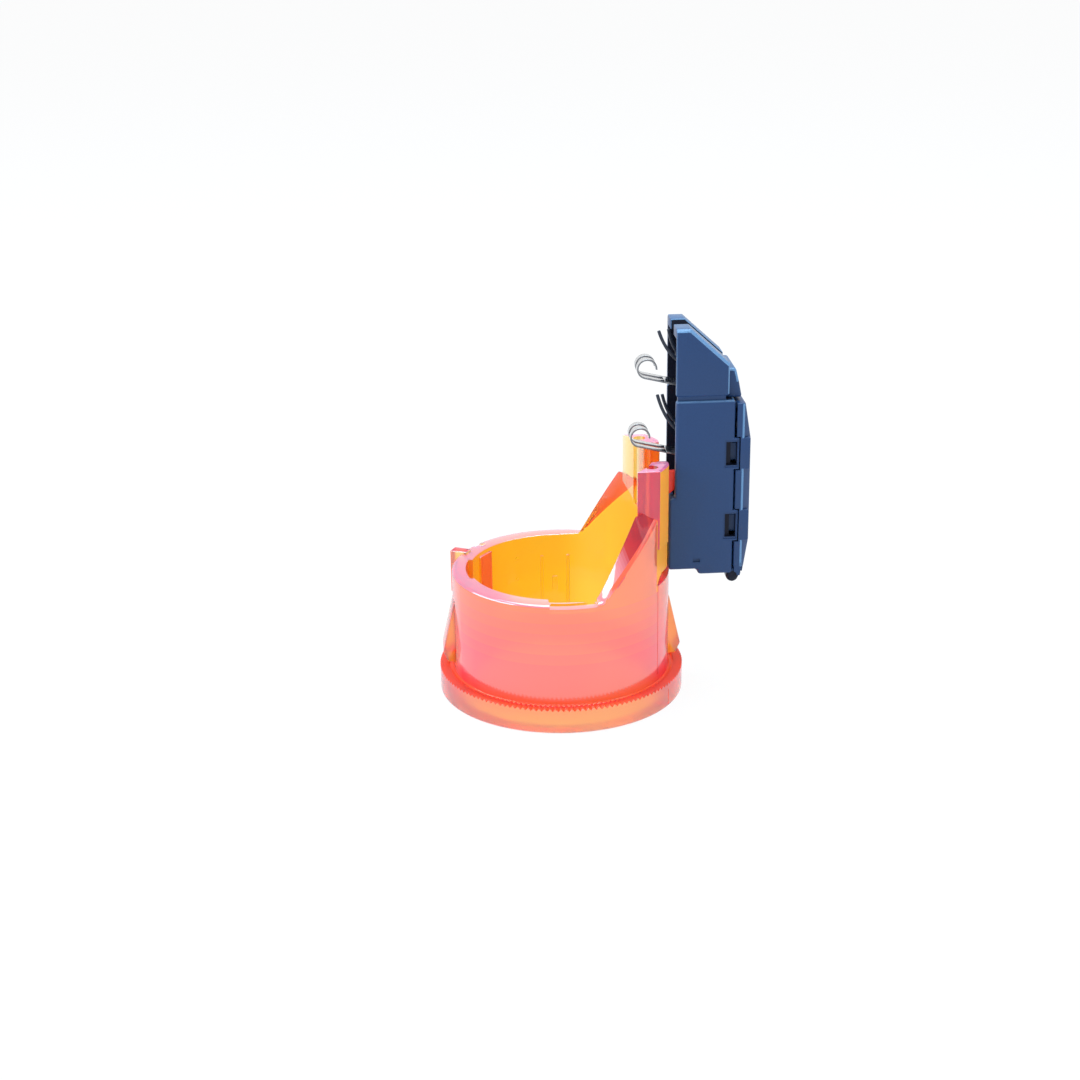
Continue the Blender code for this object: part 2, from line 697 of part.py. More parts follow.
def ear_spans():
    for middle in (MODULE_FOOT + EAR_RISE, CREASE_Z - EAR_DROP):
        yield middle - EAR_HEIGHT / 2, middle + EAR_HEIGHT / 2


def knuckle(low, high):
    """A hinge barrel of the housing, with a web up to the floor."""
    barrel = rod((HINGE.x, low, HINGE.z), (HINGE.x, high, HINGE.z), KNUCKLE_RADIUS)
    web = box((HINGE.x - KNUCKLE_RADIUS, low, HINGE.z), (MODULE_REAR, high, MODULE_FOOT + MODULE_WALL / 2))
    return fused(barrel, web)


def barrel_room():
    """The room in the housing's floor that the cover's hinge barrel turns in."""
    half = COVER_BARREL_HALF + FIT / 2
    return rod((HINGE.x, -half, HINGE.z), (HINGE.x, half, HINGE.z), KNUCKLE_RADIUS + FIT)


def hinge_hole():
    half = MODULE_WIDTH / 2
    return rod((HINGE.x, -half, HINGE.z), (HINGE.x, half, HINGE.z), PIN_RADIUS + RUN, sides=16)


def housing_knuckles():
    inner = PIN_REACH - HOUSING_KNUCKLE_WIDTH
    return knuckle(inner, PIN_REACH), knuckle(-PIN_REACH, -inner)


def latch_windows():
    rear = MODULE_REAR + EAR_REACH - LATCH_WINDOW_EDGE
    for low, high in ear_spans():
        middle = (low + high) / 2
        yield box(
            (rear - LATCH_WINDOW_DEPTH, -MODULE_WIDTH, middle - LATCH_WINDOW_HEIGHT / 2),
            (rear, MODULE_WIDTH, middle + LATCH_WINDOW_HEIGHT / 2),
        )


def module_housing():
    half = MODULE_WIDTH / 2
    housing = outline_plate(housing_outline(), -half, half)
    upper = ((SEAT_X, half - UPPER_INSET, CREASE_Z), (COVER_FACE, MODULE_WIDTH, MODULE_TOP + CUT_PAST))
    housing = cut(housing, *mirrored_boxes(*upper))
    housing = fused(housing, outline_plate(hood_outline(), -HOOD_WIDTH / 2, HOOD_WIDTH / 2))
    housing = cut(housing, outline_plate(housing_cavity(), -SIDE_INSIDE, SIDE_INSIDE))
    hollow = HOOD_WIDTH / 2 - MODULE_WALL
    housing = cut(housing, outline_plate(hood_hollow(), -hollow, hollow))
    slot_half = TOP_SLOT_WIDTH / 2
    slot_floor = slope_at(UPPER_REAR) - MODULE_WALL / 2
    slot = box((SEAT_X, -slot_half, slot_floor), (UPPER_REAR, slot_half, MODULE_TOP + CUT_PAST))
    housing = cut(housing, slot)
    for low, high in ear_spans():
        ear = ((MODULE_REAR - MODULE_WALL, SIDE_INSIDE, low), (MODULE_REAR + EAR_REACH, half, high))
        housing = fused(housing, *mirrored_boxes(*ear))
    lamp_window = rod((SEAT_X, 0, LAMP_Z), (CARRIER_X, 0, LAMP_Z), LAMP_RADIUS + FIT)
    housing = fused(housing, *housing_knuckles())
    housing = cut(housing, *latch_windows(), lamp_window, barrel_room(), hinge_hole())
    return finish_node(housing, "module_housing", "black")


def cover_profile():
    """The cover's side view."""
    foot = MODULE_FOOT - FOOT_STEP
    barrel = HINGE.z + KNUCKLE_RADIUS + FIT
    clear = HINGE.x + KNUCKLE_RADIUS + FIT
    return [
        (COVER_FRONT, COVER_TOP),
        (COVER_FACE - COVER_TOP_SETBACK, COVER_TOP),
        (COVER_FACE, COVER_TOP - COVER_TOP_SLOPE),
        (COVER_FACE, foot + COVER_FOOT_SLOPE),
        (COVER_FACE - COVER_FOOT_SETBACK, foot),
        (clear, foot),
        (clear, barrel),
        (COVER_FRONT, barrel),
    ]


def cover_plan():
    """The cover from above, chamfered along both sides of its face."""
    half = MODULE_WIDTH / 2
    return [
        (CARRIER_X, -half),
        (COVER_FACE - COVER_CHAMFER, -half),
        (COVER_FACE, COVER_CHAMFER - half),
        (COVER_FACE, half - COVER_CHAMFER),
        (COVER_FACE - COVER_CHAMFER, half),
        (CARRIER_X, half),
    ]


def terminal_cover():
    half = MODULE_WIDTH / 2
    cover = outline_plate(cover_profile(), -half, half)
    plan = outline_plate(cover_plan(), 0, MODULE_TOP, upright=False)
    cover = combined(cover, plan, "INTERSECT")
    inside = half - COVER_WALL
    room = box(
        (CARRIER_X, -inside, MODULE_FOOT + 2 * COVER_WALL),
        (COVER_FACE - COVER_WALL, inside, COVER_TOP - COVER_WALL),
    )
    cover = cut(cover, room)
    arm_half = LATCH_WINDOW_HEIGHT / 2 - LATCH_ARM_ROOM
    for low, high in ear_spans():
        recess = (
            (CARRIER_X, INSERT_HALF, low - COVER_GAP),
            (MODULE_REAR + EAR_REACH + COVER_GAP, MODULE_WIDTH, high + COVER_GAP),
        )
        cover = cut(cover, *mirrored_boxes(*recess))
        middle = (low + high) / 2
        arm = (
            (MODULE_REAR - LATCH_ARM_REACH, INSERT_HALF - LATCH_ARM_THICKNESS, middle - arm_half),
            (COVER_FACE - COVER_WALL / 2, INSERT_HALF, middle + arm_half),
        )
        cover = fused(cover, *mirrored_boxes(*arm))
    barrel_ends = ((HINGE.x, side * COVER_BARREL_HALF, HINGE.z) for side in (-1, 1))
    barrel = rod(*barrel_ends, KNUCKLE_RADIUS)
    web = box(
        (HINGE.x, -COVER_BARREL_HALF, HINGE.z),
        (COVER_FACE - COVER_TOP_SETBACK, COVER_BARREL_HALF, MODULE_FOOT + COVER_WALL),
    )
    cover = fused(cover, web, barrel)
    cover = cut(cover, hinge_hole())
    return finish_node(cover, "terminal_cover", "black", HINGE)


def hinge_pin():
    pin = rod((HINGE.x, -PIN_REACH, HINGE.z), (HINGE.x, PIN_REACH, HINGE.z), PIN_RADIUS, sides=16)
    return finish_node(pin, "hinge_pin", "silver")


def contact_spring(name, pivot, length):
    """A bifurcated strip that leaves the carrier uphill and ends in a curl."""
    away = Vector((-cos(STRIP_PITCH), sin(STRIP_PITCH)))
    root = Vector((pivot.x, pivot.z))
    bend = root + away * length
    centre = bend + Vector((away.y, -away.x)) * CURL_RADIUS
    curl = arc(centre, CURL_RADIUS, -pi / 2 - STRIP_PITCH, -CURL_TURN, CURL_STEPS)
    strip = ribbon([root - away * STRIP_TAIL] + curl, STRIP_WIDTH, STRIP_THICKNESS)
    reach = length + 2 * CURL_RADIUS
    slit = box(
        (pivot.x - reach, -STRIP_SLIT / 2, pivot.z - reach),
        (CARRIER_X - SLIT_END, STRIP_SLIT / 2, pivot.z + reach),
    )
    return finish_node(cut(strip, slit), name, "silver", pivot)


def finger_path(root, reach, rise):
    """A quadratic curve that leaves the bar forward and turns up."""
    for step in range(FORK_STEPS + 1):
        t = step / FORK_STEPS
        forward, up = (t * t + 2 * t * (1 - t) * share for share in FORK_BEND)
        yield root.x - reach * forward, root.z + rise * up


def fork_span():
    """Half the width over a fork's fingers."""
    return SIDE_INSIDE - FORK_SIDE_ROOM


def guide_fork(name, contact, fingers):
    """Two curved fingers on one bar; the near finger stands taller."""
    pivot = contact + Vector((0, 0, FORK_RISE))
    span = fork_span()
    fork = box(
        (CARRIER_X - FORK_THICKNESS, -span, pivot.z - FORK_THICKNESS),
        (pivot.x + FORK_TAIL, span, pivot.z + FORK_THICKNESS),
    )
    for finger, side in SIDES.items():
        path = list(finger_path(pivot, *fingers[finger]))
        middle = side * (span - FORK_FINGER_WIDTH / 2)
        fork = fused(fork, ribbon(path, FORK_FINGER_WIDTH, FORK_THICKNESS, middle))
    return finish_node(fork, name, "black", pivot)


def contact_carrier():
    """The block that the springs, forks and terminals are held in."""
    foot = LIP_TOP + CARRIER_RISE
    roof = MODULE_TOP - ROOF_WALL - 2 * FIT
    outline = [
        (CARRIER_X, foot),
        (CARRIER_REAR, foot),
        (CARRIER_REAR, slope_at(CARRIER_REAR) - ROOF_WALL - 2 * FIT),
        (ROOF_START, roof),
        (CARRIER_X, roof),
    ]
    carrier = outline_plate(outline, -INSERT_HALF, INSERT_HALF)
    half = STRIP_WIDTH / 2 + FLEX_ROOM
    span = fork_span() + FLEX_ROOM
    depth = FORK_THICKNESS + FLEX_ROOM
    for contact, _ in CONTACTS.values():
        spring_slot = box(
            (SEAT_X, -half, contact.z - TERMINAL_THICKNESS - SLOT_ROOM),
            (COVER_FACE, half, contact.z + SLOT_ROOM),
        )
        fork = contact.z + FORK_RISE
        fork_slot = box(
            (SEAT_X, -span, fork - depth),
            (FLEX_X + FORK_TAIL + FLEX_ROOM, span, fork + 2 * depth),
        )
        carrier = cut(carrier, spring_slot, fork_slot)
    for terminal_sizes in TERMINALS.values():
        place = rivet_place(*terminal_sizes)
        hole = rod(place - Vector((RIVET_SHANK + RUN, 0, 0)), place, RIVET_RADIUS + RUN, 16)
        carrier = cut(carrier, hole)
    return finish_node(carrier, "contact_carrier", "black")


def rivet_place(contact, side, drop):
    """Where a rivet meets the carrier's rear face."""
    return Vector((CARRIER_REAR, side * (INSERT_HALF - TERMINAL_LEG_WIDTH / 2), contact.z - drop))


def terminal(name, contact, side, drop):
    """A strap bent over the carrier: a tongue behind the spring and a leg with a wire tag."""
    rear = TERMINAL_X + TERMINAL_THICKNESS
    outer = side * INSERT_HALF
    ends = sorted((outer, -side * TONGUE_HALF))
    legs = sorted((outer, outer - side * TERMINAL_LEG_WIDTH))
    front = contact.x + STRIP_TAIL + FIT
    strap = fused(
        box((front, -TONGUE_HALF, contact.z - TERMINAL_THICKNESS), (rear, TONGUE_HALF, contact.z)),
        box((TERMINAL_X, ends[0], contact.z - TERMINAL_STRAP), (rear, ends[1], contact.z)),
        box((TERMINAL_X, legs[0], TERMINAL_FOOT), (rear, legs[1], contact.z)),
    )
    rivet = rivet_place(contact, side, drop)
    end = rivet + Vector((TERMINAL_THICKNESS + CUT_PAST, 0, 0))
    hole = rod(rivet - Vector((CUT_PAST, 0, 0)), end, RIVET_RADIUS + RUN, 16)
    return finish_node(cut(strap, hole), name, "brass")


def terminal_rivet(name, place):
    head = TERMINAL_X + TERMINAL_THICKNESS + RUN
    tip = place - Vector((RIVET_SHANK, 0, 0))
    shank = rod(tip, (head + RIVET_HEAD / 2, place.y, place.z), RIVET_RADIUS, 16)
    cap = rod((head, place.y, place.z), (head + RIVET_HEAD, place.y, place.z), RIVET_HEAD_RADIUS, 16)
    return finish_node(fused(shank, cap), name, "silver")


def lamp_body():
    """A domed lamp that looks forward through the housing's window."""
    rear = LAMP_LENGTH + LAMP_COLLAR
    angles = [pi / 2 * step / DOME_STEPS for step in range(1, DOME_STEPS + 1)]
    dome = [(LAMP_RADIUS * sin(angle), LAMP_DOME * (1 - cos(angle))) for angle in angles]
    collar = [(LAMP_RADIUS, LAMP_LENGTH), (LAMP_COLLAR_RADIUS, LAMP_LENGTH), (LAMP_COLLAR_RADIUS, rear)]
    lamp = turned([(LAMP_FLAT, 0), *dome, *collar, (LAMP_FLAT, rear)], 24)
    core = rod((0, 0, RUN), (0, 0, rear - RUN), LAMP_RADIUS / 2, 12)
    lamp = fused(lamp, core)
    lamp.data.transform(Matrix.Translation((LAMP_X, 0, LAMP_Z)) @ Matrix.Rotation(pi / 2, 4, "Y"))
    return finish_node(lamp, "lamp_body", "clear")


def lamp_board():
    rear = BOARD_X + BOARD_THICKNESS
    board = box((BOARD_X, -INSERT_HALF, BOARD_FOOT), (rear, INSERT_HALF, BOARD_TOP))
    for side in SIDES.values():
        y = side * LEAD_SPACING / 2
        hole = rod((BOARD_X - CUT_PAST, y, LAMP_Z), (rear + CUT_PAST, y, LAMP_Z), LEAD_RADIUS + RUN, 12)
        board = cut(board, hole)
    return finish_node(board, "lamp_board", "board")


def lamp_lead(name, side):
    y = side * LEAD_SPACING / 2
    start = BOARD_X - FIT + RUN
    end = BOARD_X + BOARD_THICKNESS + LEAD_TAIL
    return finish_node(rod((start, y, LAMP_Z), (end, y, LAMP_Z), LEAD_RADIUS, 12), name, "silver")


def lamp_resistor():
    rear = BOARD_X + BOARD_THICKNESS + RUN
    foot = LAMP_Z + RESISTOR_RISE
    chip = box(
        (rear, -RESISTOR_LENGTH / 2, foot),
        (rear + RESISTOR_THICKNESS, RESISTOR_LENGTH / 2, foot + RESISTOR_HEIGHT),
    )
    return finish_node(chip, "lamp_resistor", "ceramic")


def lamp_link(name, side):
    """A short pin from a terminal's tag down to the lamp board's edge."""
    x = TERMINAL_X + TERMINAL_THICKNESS / 2
    y = side * (INSERT_HALF - TERMINAL_LEG_WIDTH / 2)
    link = rod((x, y, BOARD_TOP + RUN), (x, y, TERMINAL_FOOT - RUN), LINK_RADIUS, 12)
    return finish_node(link, name, "silver")


def build():
    light_ring()
    snap_tongue("left_snap_tongue", -1)
    snap_tongue("right_snap_tongue", 1)
    module_housing()
    terminal_cover()
    hinge_pin()
    contact_carrier()
    for level in ("upper", "lower"):
        contact_spring(level + "_contact_spring", *CONTACTS[level])
        guide_fork(level + "_guide_fork", *FORKS[level])
        terminal(level + "_terminal", *TERMINALS[level])
        terminal_rivet(level + "_terminal_rivet", rivet_place(*TERMINALS[level]))
    lamp_body()
    lamp_board()
    lamp_resistor()
    for place, side in SIDES.items():
        lamp_lead(place + "_lamp_lead", side)
        lamp_link(place + "_lamp_link", side)


clear_scene()
PARTS = bpy.data.collections.new("light_ring_assembly")
bpy.context.scene.collection.children.link(PARTS)
BENCH = bpy.data.objects.new("bench", None)
BENCH.location = (FRAME_SHIFT, 0, 0)
PARTS.objects.link(BENCH)
build()
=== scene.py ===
"""Looks of the snap-in light ring with its clip-on contact module.

Shapes are modelled in millimetres with the ring's axis at X = Y = 0 and +X towards the module.
They are then set into the frame in metres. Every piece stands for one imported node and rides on
that node's body.
"""

import json
from math import asin, atan2, cos, degrees, hypot, pi, radians, sin, tau

import bmesh
import bpy
from mathutils import Matrix, Vector

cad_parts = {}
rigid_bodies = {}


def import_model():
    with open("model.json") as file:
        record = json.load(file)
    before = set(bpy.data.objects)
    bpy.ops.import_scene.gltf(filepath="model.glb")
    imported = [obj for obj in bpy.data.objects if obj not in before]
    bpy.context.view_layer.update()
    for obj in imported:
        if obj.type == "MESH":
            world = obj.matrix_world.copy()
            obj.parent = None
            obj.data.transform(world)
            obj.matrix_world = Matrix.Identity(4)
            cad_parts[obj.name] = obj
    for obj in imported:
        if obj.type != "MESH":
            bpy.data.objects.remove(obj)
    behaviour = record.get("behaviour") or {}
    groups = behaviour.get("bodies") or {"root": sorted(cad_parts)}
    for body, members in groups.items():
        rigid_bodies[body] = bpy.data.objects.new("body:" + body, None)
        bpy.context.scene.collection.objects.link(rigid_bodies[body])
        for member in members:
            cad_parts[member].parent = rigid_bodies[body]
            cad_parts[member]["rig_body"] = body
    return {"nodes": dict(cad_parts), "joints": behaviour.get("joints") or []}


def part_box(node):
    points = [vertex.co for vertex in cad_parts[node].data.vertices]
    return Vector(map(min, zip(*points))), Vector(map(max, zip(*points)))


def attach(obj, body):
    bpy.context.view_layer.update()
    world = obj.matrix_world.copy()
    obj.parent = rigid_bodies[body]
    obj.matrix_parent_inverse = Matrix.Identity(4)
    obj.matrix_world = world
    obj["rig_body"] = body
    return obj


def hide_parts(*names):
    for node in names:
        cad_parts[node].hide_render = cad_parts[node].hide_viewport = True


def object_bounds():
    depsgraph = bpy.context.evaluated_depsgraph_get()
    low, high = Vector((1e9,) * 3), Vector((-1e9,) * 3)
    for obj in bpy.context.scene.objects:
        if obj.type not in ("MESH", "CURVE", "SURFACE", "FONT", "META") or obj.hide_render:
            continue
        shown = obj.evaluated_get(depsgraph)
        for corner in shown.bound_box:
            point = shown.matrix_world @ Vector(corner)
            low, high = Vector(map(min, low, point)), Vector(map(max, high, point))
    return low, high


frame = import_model()
cad_low, cad_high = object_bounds()

MM = 0.001
AXIS_X = sum(corner.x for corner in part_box("light_ring")) / 2
TO_FRAME = Matrix.Translation((AXIS_X, 0, 0)) @ Matrix.Scale(MM, 4)


def span(node):
    """A node's lowest and highest corner, in millimetres from the ring's axis."""
    return [(corner - Vector((AXIS_X, 0, 0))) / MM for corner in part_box(node)]


def pivot_of(name):
    """A joint's place, in millimetres from the ring's axis."""
    place = next(joint["pos_m"] for joint in frame["joints"] if joint["name"] == name)
    return (Vector(place) - Vector((AXIS_X, 0, 0))) / MM


# Ring
FLANGE_RADIUS = span("light_ring")[1].x
POST_TOP = span("light_ring")[1].z
BODY_RADIUS = FLANGE_RADIUS - 1.8
BORE_RADIUS = BODY_RADIUS - 2.3
WING_BORE = BODY_RADIUS - 1.5
POCKET_BORE = BORE_RADIUS + 0.5
LEAD_RADIUS = BORE_RADIUS + 1.2
LEAD_STRAIGHT = 0.4
RIM_HEIGHT = POST_TOP - 14.6
SHOULDER_HEIGHT = POST_TOP - 5.2
FLANGE_TOP = 2.85
TOOTH_TIP = FLANGE_TOP + 0.45
TOOTH_DEPTH = 0.35
TOOTH_BAND = 1.15
TOOTH_EDGE = 0.06
TOOTH_COUNT = 144
RIM_ROUND = 0.5
# Below this height the outer wall takes the foot's darker painted red
FOOT_LOOK_TOP = 8.0
WALL_ROW_COUNT = 9
WALL_ROW_HEIGHT = (RIM_HEIGHT - 1.0 - FLANGE_TOP) / WALL_ROW_COUNT
WALL_ROWS = [FLANGE_TOP + WALL_ROW_HEIGHT * row for row in range(1, WALL_ROW_COUNT + 1)]
INNER_ROUND = 0.2
EDGE_ROUND = 0.3
RAMP_INNER_START, RAMP_INNER_SLOPE = 3.5, 1.92
RAMP_OUTER_START, RAMP_OUTER_SLOPE = 4.2, 1.2
WING_STEP = radians(78.0)
POCKET_STEP = pi - asin(3.2 / BORE_RADIUS)
POST_WALL = radians(31.0)
STEP_WIDTH = radians(0.3)
STEP_BLEND = radians(24.0)
POST_NEAR, POST_FAR = 4.04, 7.75
POST_PROUD = 0.25
POST_BORE = BORE_RADIUS + 0.3
POST_LENGTH = 10.1
POST_TAPER_TOP = SHOULDER_HEIGHT - 0.9
POST_TAPER_SLOPE = 1.7
PILOT_PLACE = Vector((10.76, 6.04))
PILOT_RADIUS = 0.75
PILOT_DEPTH = 9.0
SEAT_X = BODY_RADIUS - 0.75
LEDGE_HEIGHT = RIM_HEIGHT + 0.3
SLOT_FLOOR = RIM_HEIGHT - 0.3
SLOT_TOP = RIM_HEIGHT + 1.1
SLOT_BOTTOM = BODY_RADIUS - 1.0
SLOT_ANGLE = radians(34.0)
SLOT_RUNOUT = radians(6.0)
SLOT_END_RISE = 0.2
PARTING_ANGLE = radians(33.4)
FLANGE_LINE_ANGLE = radians(35.2)
FLANGE_LINE_ENDS = (0.25, 2.4)
LINE_DEPTH = 0.1
LINE_HALF = 0.06
RIB_ROOT = BORE_RADIUS + 0.3
BROAD_RIB_ANGLE = 145.0
# Angle in degrees, inner radius, foot, top, half width and rounding
BORE_RIBS = (
    (BROAD_RIB_ANGLE, BORE_RADIUS - 0.4, 1.0, RIM_HEIGHT - 0.5, 1.35, 0.1),
    (80.0, BORE_RADIUS - 0.25, 1.7, RIM_HEIGHT - 2.8, 0.22, 0.15),
    (97.5, BORE_RADIUS - 0.25, 1.7, RIM_HEIGHT - 2.8, 0.22, 0.15),
    (88.8, BORE_RADIUS - 0.2, 8.3, 10.2, 0.35, 0.15),
)
SPECK_ANGLE = radians(115.0)
SPECK_HEIGHTS = (10.3, 13.2)
SPECK_RADIUS = 0.17
SPECK_DEPTH = 0.12
OPENING_HALF = 3.2
OPENING_FLOOR = POST_TOP - 7.1
KEY_ANGLE = radians(153.0)
KEY_PROUD = 1.3
KEY_DROP = 5.4
KEY_RISE = 0.3
KEY_HALF = 0.75
NOTCH = (-2.45, 3.4)
NOTCH_DEPTH = 0.45
SIDE_NOTCH_ANGLE = radians(139.0)
SIDE_NOTCH_RADIUS = BODY_RADIUS - 1.2
SIDE_NOTCH_DEPTH = 0.4
SIDE_NOTCH_HALF = 0.8
RIM_POCKET_ANGLE = radians(-87.7)
RIM_POCKET_HALF = radians(13.0)
RIM_POCKET_RADII = (BORE_RADIUS + 0.35, BORE_RADIUS + 1.15)
RIM_POCKET_DEPTH = 1.4
HOOK_REACH = 1.6
HOOK_HEIGHT = 3.0
HOOK_RISE = 1.2
HOOK_WIDTH = 0.8
TONGUE_OUTSIDE = BODY_RADIUS - 0.1
TONGUE_WALL = 1.2
BARB_TIP = BODY_RADIUS + 1.4
BARB_HEIGHT = 1.4
BARB_NOSE = 0.6

# Module
HOUSING_LOW, HOUSING_HIGH = span("module_housing")
COVER_HIGH = span("terminal_cover")[1]
CARRIER_FRONT = span("contact_carrier")[0].x
HALF = HOUSING_HIGH.y
WALL = 0.9
FIT = 0.2
INSIDE = HALF - WALL
MODULE_X = HOUSING_LOW.x
LIP_X = MODULE_X + 0.75
MODULE_FOOT = LEDGE_HEIGHT + FIT
FOOT_DROP = 0.7
FOOT_STEP = MODULE_X + 3.75
FOOT_SLANT = 0.23
MODULE_TOP = HOUSING_HIGH.z
HINGE = pivot_of("cover_hinge")
COVER_FACE = COVER_HIGH.x
COVER_FRONT = HINGE.x
MODULE_REAR = COVER_FRONT - 0.15
UPPER_REAR = MODULE_REAR - 0.75
CREASE_Z = COVER_HIGH.z + 0.65
LIP_TOP = POST_TOP - 4.7
CREASE_GAP = 0.5
CREASE_DEPTH = 0.42
UPPER_INSET = 0.25
ROOF_START = MODULE_X + 2.5
ROOF_SLOPE = 4.35 / (UPPER_REAR - ROOF_START)
TOP_SLOT_HALF = 1.25
HOOD_HALF = 3.3
HOOD_REACH = 1.7
HOOD_SHOULDER = UPPER_REAR + 0.9
HOOD_FOOT = CREASE_Z - 0.25
EAR_MIDDLES = (MODULE_FOOT + 5.65, CREASE_Z - 7.05)
EAR_HALF = 2.0
EAR_REACH = 0.55
EAR_REAR = MODULE_REAR + EAR_REACH
FRAME_LENGTH = 1.8
FRAME_HALF = 1.75
FRAME_DEPTH = 0.12
WINDOW_LENGTH = 1.6
WINDOW_HALF = 1.5
WINDOW_DEPTH = 0.6
KNUCKLE_RADIUS = 0.8
KNUCKLE_LENGTH = 1.7
HINGE_REACH = HALF - 0.4
HINGE_HOLE = 0.45
LAMP_Z = MODULE_FOOT + 4.6
LAMP_HOLE = 1.7
DENT_ENDS = (16.2, 17.1)
DENT_HEIGHTS = (MODULE_FOOT + 0.95, MODULE_FOOT + 1.45)
DENT_DEPTH = 0.25
COVER_WALL = 0.8
COVER_CHAMFER = 1.1
COVER_SHOULDER = COVER_FACE - 0.9
LATCH_GAP = 0.15


def new_object(name, bm):
    bmesh.ops.recalc_face_normals(bm, faces=bm.faces)
    mesh = bpy.data.meshes.new(name)
    bm.to_mesh(mesh)
    bm.free()
    obj = bpy.data.objects.new(name, mesh)
    bpy.context.scene.collection.objects.link(obj)
    return obj


def rounded(bm, width, steps=3, sharper_than=25.0, where=None):
    """Rounds every edge that turns by more than an angle, or those of them that a test picks."""
    edges = [e for e in bm.edges if e.is_manifold and e.calc_face_angle(0.0) > radians(sharper_than)]
    if where:
        edges = [e for e in edges if all(where(v.co) for v in e.verts)]
    bmesh.ops.bevel(
        bm, geom=edges, offset=width, segments=steps, profile=0.5, affect="EDGES", clamp_overlap=True
    )


def softened(obj, width, steps=3):
    """The object with its sharp edges rounded."""
    bm = bmesh.new()
    bm.from_mesh(obj.data)
    bmesh.ops.dissolve_limit(bm, angle_limit=radians(1.0), verts=bm.verts, edges=bm.edges)
    rounded(bm, width, steps)
    bm.to_mesh(obj.data)
    bm.free()
    return obj


def plate(outline, low, high, upright=True, soft=0.0, steps=3):
    """An outline given a thickness: in X and Z across Y when upright, else in X and Y up Z."""
    bm = bmesh.new()
    points = [(a, low, b) if upright else (a, b, low) for a, b in outline]
    face = bm.faces.new([bm.verts.new(point) for point in points])
    moved = bmesh.ops.extrude_face_region(bm, geom=[face])["geom"]
    away = Vector((0, high - low, 0)) if upright else Vector((0, 0, high - low))
    bmesh.ops.translate(bm, verts=[v for v in moved if isinstance(v, bmesh.types.BMVert)], vec=away)
    bmesh.ops.recalc_face_normals(bm, faces=bm.faces)
    if soft:
        rounded(bm, soft, steps)
    return new_object("plate", bm)


def block(low, high, soft=0.0):
    outline = [(low[0], low[2]), (high[0], low[2]), (high[0], high[2]), (low[0], high[2])]
    return plate(outline, low[1], high[1], soft=soft)


def rod(start, end, radius, sides=48, soft=0.0, steps=3):
    """A round bar between two points, with its two end edges rounded."""
    start, end = Vector(start), Vector(end)
    length = (end - start).length
    turns = [pi / 2 * step / steps for step in range(steps + 1)] if soft else [pi / 2]
    rise = [(radius - soft * (1 - sin(turn)), soft * (1 - cos(turn))) for turn in turns]
    rise += [(r, length - z) for r, z in reversed(rise)]
    bm = bmesh.new()
    rings = []
    for r, z in rise:
        rings.append([bm.verts.new((*point, z)) for point in arc((0, 0), r, 0, tau, sides)[:sides]])
    for ring, following in zip(rings, rings[1:]):
        for corner in range(sides):
            bm.faces.new((ring[corner - 1], ring[corner], following[corner], following[corner - 1]))
    bm.faces.new(rings[0][::-1])
    bm.faces.new(rings[-1])
    turn = Vector((0, 0, 1)).rotation_difference(end - start).to_matrix().to_4x4()
    bm.transform(Matrix.Translation(start) @ turn)
    return new_object("rod", bm)


def arc(centre, radius, start, turn, steps):
    angles = (start + turn * step / steps for step in range(steps + 1))
    return [(centre[0] + radius * cos(a), centre[1] + radius * sin(a)) for a in angles]


def evaluated(obj):
    """The object with its modifiers made into mesh."""
    graph = bpy.context.evaluated_depsgraph_get()
    mesh = bpy.data.meshes.new_from_object(obj.evaluated_get(graph))
    name = obj.name
    bpy.data.objects.remove(obj, do_unlink=True)
    made = bpy.data.objects.new(name, mesh)
    bpy.context.scene.collection.objects.link(made)
    return made


def combined(target, tools, operation):
    for tool in tools:
        modifier = target.modifiers.new("boolean", "BOOLEAN")
        modifier.operation = operation
        modifier.solver = "EXACT"
        modifier.object = tool
    made = evaluated(target)
    for tool in tools:
        bpy.data.objects.remove(tool, do_unlink=True)
    return made


def cut(target, *tools):
    return combined(target, tools, "DIFFERENCE")


def fused(target, *tools):
    return combined(target, tools, "UNION")


def painted(obj, look_of):
    """Gives each face the tint, haze, shine and clearness that the clear plastic reads by name. Most tints
    are painted light and shade.
    """
    looks = [look_of(face.center, face.normal) for face in obj.data.polygons]
    tint = obj.data.attributes.new("tint", "FLOAT_COLOR", "FACE").data
    for value, look in zip(tint, looks):
        value.color = (*look[:3], 1.0)
    for place, name in enumerate(("haze", "shine", "clear"), start=3):
        numbers = obj.data.attributes.new(name, "FLOAT", "FACE").data
        numbers.foreach_set("value", [look[place] for look in looks])


def dressed(obj, node, material, smooth_below=35.0):
    """Sets a finished shape into the frame in place of a node."""
    obj.name = node + "_look"
    obj.data.name = obj.name
    obj.data.transform(TO_FRAME)
    obj.data.materials.clear()
    obj.data.materials.append(material)
    obj.data.shade_smooth()
    obj.data.set_sharp_from_angle(angle=radians(smooth_below))
    body = frame["nodes"][node]["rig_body"]
    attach(obj, body)
    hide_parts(node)
    return obj


def tooth_height(angle):
    """A saw of even teeth round the flange."""
    phase = angle * TOOTH_COUNT / tau
    return TOOTH_TIP - TOOTH_DEPTH * (1 - abs(phase % 1 * 2 - 1))


def rim_heights(angle):
    """The wall's outer and inner height: level, climbing as a wing, and level again behind the posts."""
    if abs(angle) <= POST_WALL:
        return POST_TOP - FIT, POST_TOP - FIT
    edges = (
        (BODY_RADIUS, RAMP_OUTER_START, RAMP_OUTER_SLOPE),
        (WING_BORE, RAMP_INNER_START, RAMP_INNER_SLOPE),
    )
    climbs = [max(0.0, radius * cos(angle) - start) * slope for radius, start, slope in edges]
    return [min(RIM_HEIGHT + climb, SHOULDER_HEIGHT) for climb in climbs]


